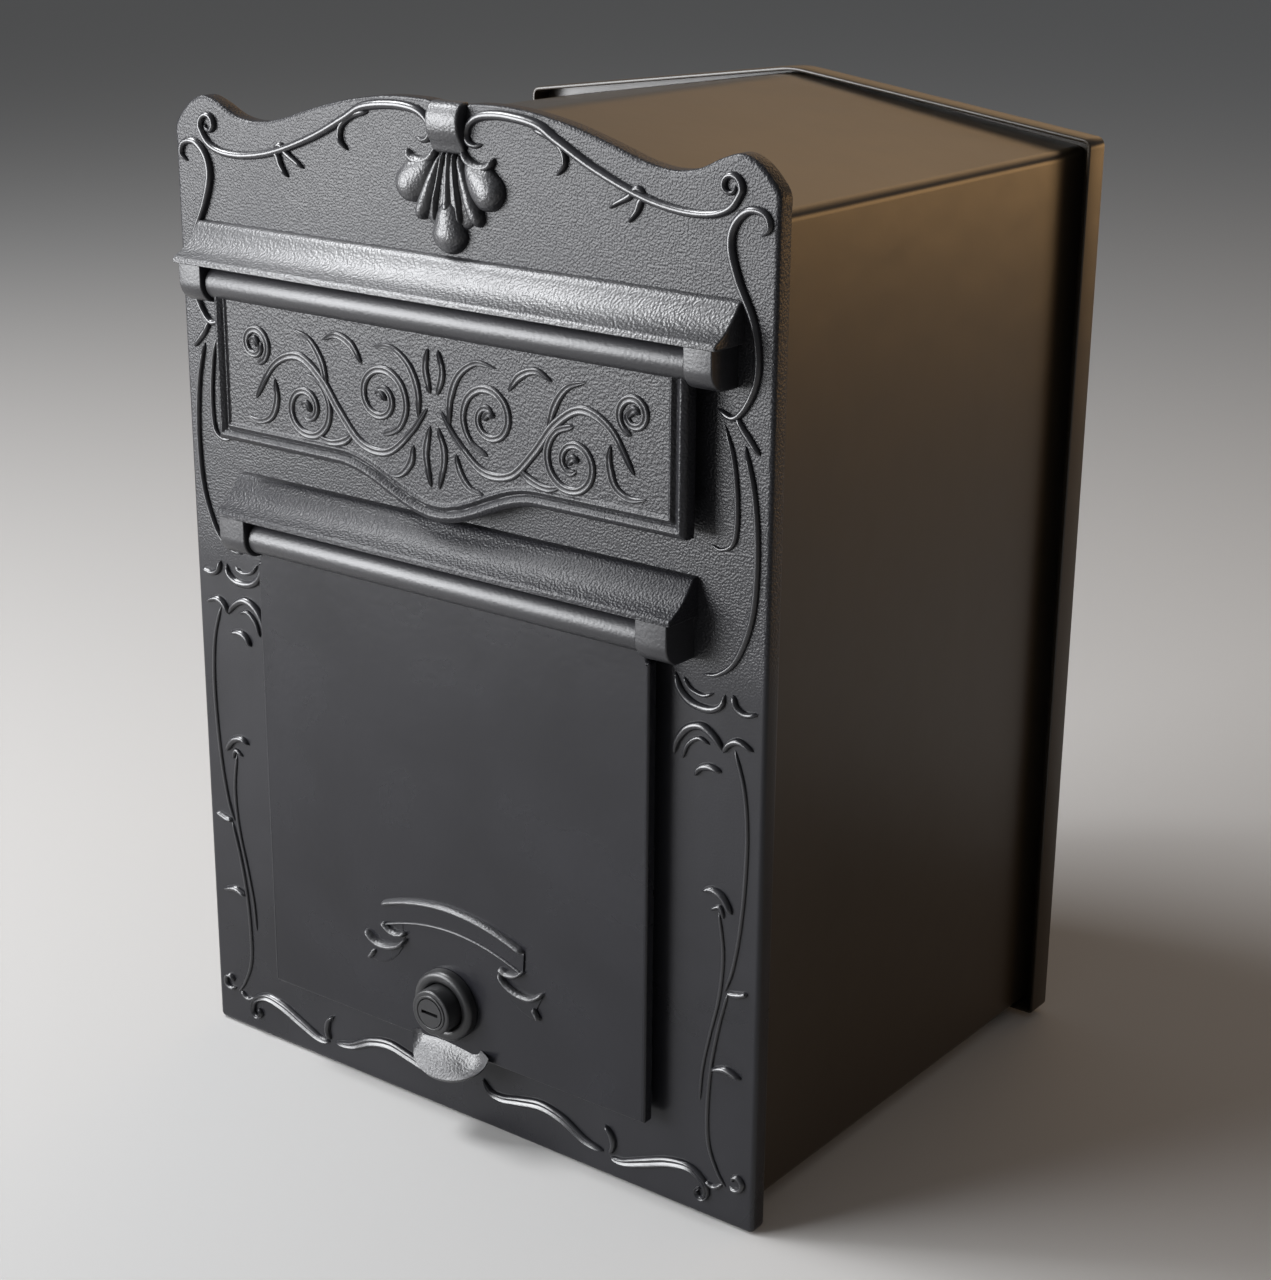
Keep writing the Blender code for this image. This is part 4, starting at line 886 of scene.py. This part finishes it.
piece("ribbon", ribbon_faces(), "door", SMOOTH_CAST, "door", crease=60)
piece("ribbon_beads", ribbon_beads(), "door", ROUGH_CAST, "door", crease=60)

# %% [markdown]
# ### The finger pull
#
# A scalloped lip flares from the door under the lock, and fingers lift the door behind it. Going down from
# its root, s runs from 0 to 1 and the lip swings out ever faster. Going round it, the angle fans from left
# to right, and three lobes swell and dip its surface and its edge.


# %% Finger pull
PULL_X, PULL_HALF, PULL_LENGTH, PULL_FLARE = 1.0, 19.5, 12.6, 8.4
PULL_ROOT = LOCK_HEIGHT - 14.6


def pull_shape():
    """Lip over an angle fan and a share s, 0 at the root and 1 at the edge.

    x grows as the sine of fan and the drop as its cosine to the power 0.8, and both grow with s. The
    flare grows as s to the power 1.7. The lobes are a cosine of three times fan.
    """
    fan = np.radians(np.linspace(-88, 88, 97))[None, :]
    s = np.linspace(0, 1, 41)[:, None]
    lobes = np.cos(3.0 * (fan + 0.22))
    reach = 1 + 0.08 * lobes * s
    swell = 1.5 * lobes * np.sin(s * math.pi / 2) ** 1.5
    x = PULL_X + PULL_HALF * np.sin(fan) * (0.6 + 0.4 * s) * reach
    height = PULL_ROOT - PULL_LENGTH * np.cos(fan) ** 0.8 * s * reach + 0.6 * swell
    out = DOOR_FACE - 0.5 + PULL_FLARE * (0.3 + 0.7 * np.cos(fan)) * s**1.7 + 0.7 * swell
    thick = 2.8 - 1.2 * s
    back = at(PULL_X + (x - PULL_X) * (1 - 0.05 * s), out - thick * (1 - 0.55 * s) - 0.4,
              height - thick * 0.9 * s)
    return slab(at(x, out, height), back)


piece("finger_pull", [pull_shape()], "door", ROUGH_CAST, "door", crease=60)

# %% [markdown]
# ## The lock
#
# A cam lock stands out of the door: a round collar, a head with a softened edge, and the plug with its key
# slot inside it. The real ones are turned on a lathe, so each is a profile taken once round the axis,
# which keeps the rounded edges even. Bevelled cylinders would do nearly as well.


# %% Lock collar and head
def rounded_ring(inner, outer, low, high, radius, steps=5):
    """Profile of a ring from low to high, with a quarter circle at each of its two front corners."""
    turn = np.linspace(0, math.pi / 2, steps + 1)
    outside = [(outer - radius + radius * math.cos(a), high - radius + radius * math.sin(a)) for a in turn]
    inside = [(inner + radius - radius * math.sin(a), high - radius + radius * math.cos(a)) for a in turn]
    return outside + inside + [(inner, low), (outer, low)]


LOCK = (0.0, LOCK_HEIGHT)
BORE_R, HEAD_R, NECK_R = 5.9, 8.8, 7.8
HEAD_BACK, HEAD_FRONT, SLEEVE_BACK = 8.3, 18.5, -7.5
piece("lock_collar_ring", [turned(rounded_ring(9.1, 13.8, HEAD_BACK, 12.5, 1.9), LOCK)], "door", LOCK_BLACK,
      "lock_collar")
sleeve = [(NECK_R, 8.6), (BORE_R, 8.6), (BORE_R, SLEEVE_BACK), (NECK_R, SLEEVE_BACK)]
head = [rounded_ring(BORE_R, HEAD_R, HEAD_BACK, HEAD_FRONT, 0.7),
        rounded_ring(BORE_R, 7.0, HEAD_FRONT - 1.0, HEAD_FRONT + 0.4, 0.3), sleeve]
piece("lock_head", [turned(profile, LOCK) for profile in head], "door", LOCK_BLACK, "lock_body")

# %% [markdown]
# ## The sheet metal case and its back pan
#
# Sides and roof are bent from one sheet. At the eaves the sheet turns through a soft bend, which is what
# catches the light. The rear sits inside a shallow pan with a forward rim, and a dark gap runs between them.
# One outline serves both: a house shape with round lower corners and eaves, offset inwards for the inside.
# A sheet with a Solidify modifier would give the walls but not the flanges, so those are rings too.


# %% Case and pan
def house(half, low, ridge_height, slope, corner, bend, inset=0.0, ridge_bend=6.0):
    """House outline, anticlockwise from the lower left, with soft corners, offset inwards by inset."""
    side, foot = half - inset, low + inset
    peak = ridge_height - inset / math.cos(math.atan(slope))
    eave = peak - side * slope
    corners = [(-side, foot), (side, foot), (side, eave), (0, peak), (-side, eave)]
    reach = np.array([corner, corner, bend, ridge_bend, bend]) - inset
    return softened(corners, np.maximum(reach, 0.5), steps=8)


def hollow_along_y(track):
    """Shell from a closed track of (loop, out) pairs: each loop is a ring, and the last joins the first."""
    return wheel(np.array([at(loop[:, 0], out, loop[:, 1]) for loop, out in track]))


def measured(node_name, **bends):
    """The house outline's sizes read from a working piece, and its front and rear as out distances."""
    low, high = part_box(node_name)
    sizes = {"half": high.x / MM, "low": (low.z - BASE_Z) / MM, "ridge_height": (high.z - BASE_Z) / MM}
    return {**sizes, **bends}, (FACE_Y - low.y) / MM, (FACE_Y - high.y) / MM


def case_shape(sheet=1.2, flange=12.0):
    """Case: outside, front flange, inside, rear flange, and back to the outside."""
    case, front, rear = measured("case_wrap", slope=0.1544, corner=3.0, bend=3.6)
    outer, bevel, inner, lip = (house(**case, inset=inset) for inset in (0, 0.25, sheet, flange))
    outside = [(bevel, front), (outer, front - 0.4)]
    outside += [(outer, out) for out in np.linspace(front - 1.2, rear + 1.2, 24)]
    outside += [(outer, rear + 0.4), (bevel, rear)]
    inside = [(lip, rear), (lip, rear + sheet), (inner, rear + sheet), (inner, front - sheet),
              (lip, front - sheet), (lip, front)]
    return hollow_along_y(outside + inside)


WALL_HOLE_R = 3.5
WALL_HOLES = [(x, height) for x in (-85.0, 85.0) for height in (60.0, TALL - 75.0)]


def pan_shapes(sheet=1.5):
    """Pan: a floor with four wall screw holes, and a forward rim with a rounded front edge."""
    pan, front, rear = measured("back_pan", slope=0.1341, corner=2.5, bend=3.5)
    turn = np.linspace(0, -2 * math.pi, 32, endpoint=False)
    circle = WALL_HOLE_R * np.stack([np.cos(turn), np.sin(turn)], axis=-1)
    floor = rounded_plate([house(**pan, inset=0.05), *(circle + place for place in WALL_HOLES)],
                          rear, rear + sheet, radius=0.4, steps=3)
    track = [(0, rear + 0.4), (0, front - 0.5), (0.2, front - 0.12), (0.5, front), (sheet - 0.5, front),
             (sheet - 0.2, front - 0.12), (sheet, front - 0.5), (sheet, rear + 0.4)]
    return [floor, hollow_along_y([(house(**pan, inset=inset), out) for inset, out in track])]


piece("case_sheet", [case_shape()], "case", SHEET, "case_wrap", crease=30)
piece("pan_sheet", pan_shapes(), "case", SHEET, "back_pan", crease=30)

# %% [markdown]
# ## Pieces whose working solids already look right
#
# The floor sheet, the pins, the fasteners and the inside of the lock are small or hidden, and modelling
# them again would add nothing. They keep their working meshes and only need a finish.

# %% Finishes on the working pieces
COVERED = ("front_plate", "letter_flap", "door", "lock_collar", "lock_body", "case_wrap", "back_pan")
BLACK_OR_WIRE = {"floor_panel": SHEET, "lock_plug": LOCK_BLACK, "letter_flap_pin": WIRE, "door_pin": WIRE}
kept = {name: obj for name, obj in frame["nodes"].items() if name not in COVERED}
for name, obj in kept.items():
    obj.data.materials.clear()
    obj.data.materials.append(BLACK_OR_WIRE.get(name, ZINC))
print(len(kept), "working pieces keep their mesh")

# %% [markdown]
# ## The floor
#
# A plain pale floor lies just under the mailbox and runs far past it, so that no edge shows. It is staging
# and not a part of the object.


# %% Floor
REACH = 14.0
floor_z = BASE_Z - 0.4 * MM
mesh = bpy.data.meshes.new("pale_floor")
square = [(-REACH, -REACH), (REACH, -REACH), (REACH, REACH), (-REACH, REACH)]
mesh.from_pydata([(x, y, floor_z) for x, y in square], [], [(0, 1, 2, 3)])
material = bpy.data.materials.new("pale_floor")
material.use_nodes = True
shader = material.node_tree.nodes["Principled BSDF"]
shader.inputs["Base Color"].default_value = (0.46, 0.455, 0.447, 1)
shader.inputs["Roughness"].default_value = 0.9
shader.inputs["Specular IOR Level"].default_value = 0.1
mesh.materials.append(material)
placed("pale_floor", mesh)
print("floor at", round(floor_z / MM, 1), "mm")

# %% [markdown]
# ## Light
#
# Black paint shows almost nothing but what it reflects, so the lamps are large. A broad one stands above on
# the left, a flat one grazes the edges, and a low one in front brings out the grain of the upper plate. Two
# warm ones behind are what the smooth roof and side reflect.

# %% Lamps and sky
COOL, WARM, AMBER = (0.97, 0.98, 1.0), (1.0, 0.58, 0.24), (1.0, 0.60, 0.26)


def lamp(name, place, target, size, power, colour, spread=180):
    """Soft rectangle of light, size in metres and power in watts, turned to face the target."""
    light = bpy.data.lights.new(name, "AREA")
    light.shape = "RECTANGLE"
    light.size, light.size_y = size
    light.energy = power
    light.color = colour
    light.spread = math.radians(spread)
    obj = placed(name, light)
    obj.visible_camera = False
    obj.location = place
    obj.rotation_euler = (Vector(target) - Vector(place)).to_track_quat("-Z", "Y").to_euler()
    print(f"{name}: {power} W")


lamp("key_lamp", (-1.02, -0.58, 1.36), (0, -0.2, 0.1), (0.6, 0.45), 34, COOL)
lamp("edge_lamp", (-1.06, -1.36, 0.70), (0, -0.2, 0.1), (0.9, 0.22), 13, COOL)
lamp("front_lamp", (-0.90, -1.27, 0.18), (0, -0.21, 0.12), (1.0, 0.72), 6.4, COOL, spread=70)
lamp("roof_lamp", (-0.3, 1.7, 1.15), (0, 0, 0.15), (2.6, 0.8), 1.35, AMBER, spread=70)
lamp("warm_lamp", (1.5, 1.7, 0.16), (0.2, 0, -0.16), (1.6, 0.5), 10, WARM)
world = bpy.data.worlds.new("soft_sky")
world.use_nodes = True
world.node_tree.nodes["Background"].inputs["Color"].default_value = (0.80, 0.82, 0.85, 1)
world.node_tree.nodes["Background"].inputs["Strength"].default_value = 0.19
bpy.context.scene.world = world
bpy.context.scene.view_settings.view_transform = "Standard"

# %% [markdown]
# ## Camera
#
# The camera looks at a point near the middle of the front. Turn is how far it stands round to the right,
# rise how far above level, and roll how far it leans, all in degrees.


# %% Camera
target = Vector((0.0792, FACE_Y, BASE_Z + 0.2083))
distance = 0.8165
turn, rise, roll = (math.radians(angle) for angle in (37.085, 18.952, 0.487))
back = Vector((math.sin(turn) * math.cos(rise), -math.cos(turn) * math.cos(rise), math.sin(rise)))
lens = bpy.data.cameras.new("camera")
lens.sensor_width = 36.0
lens.lens = 68.77
camera = placed("camera", lens)
camera.location = target + back * distance
aim = (-back).to_track_quat("-Z", "Y").to_matrix()
camera.rotation_euler = (aim @ Matrix.Rotation(roll, 3, "Z")).to_euler()
bpy.context.scene.camera = camera
print(f"camera {distance:.2f} m away")
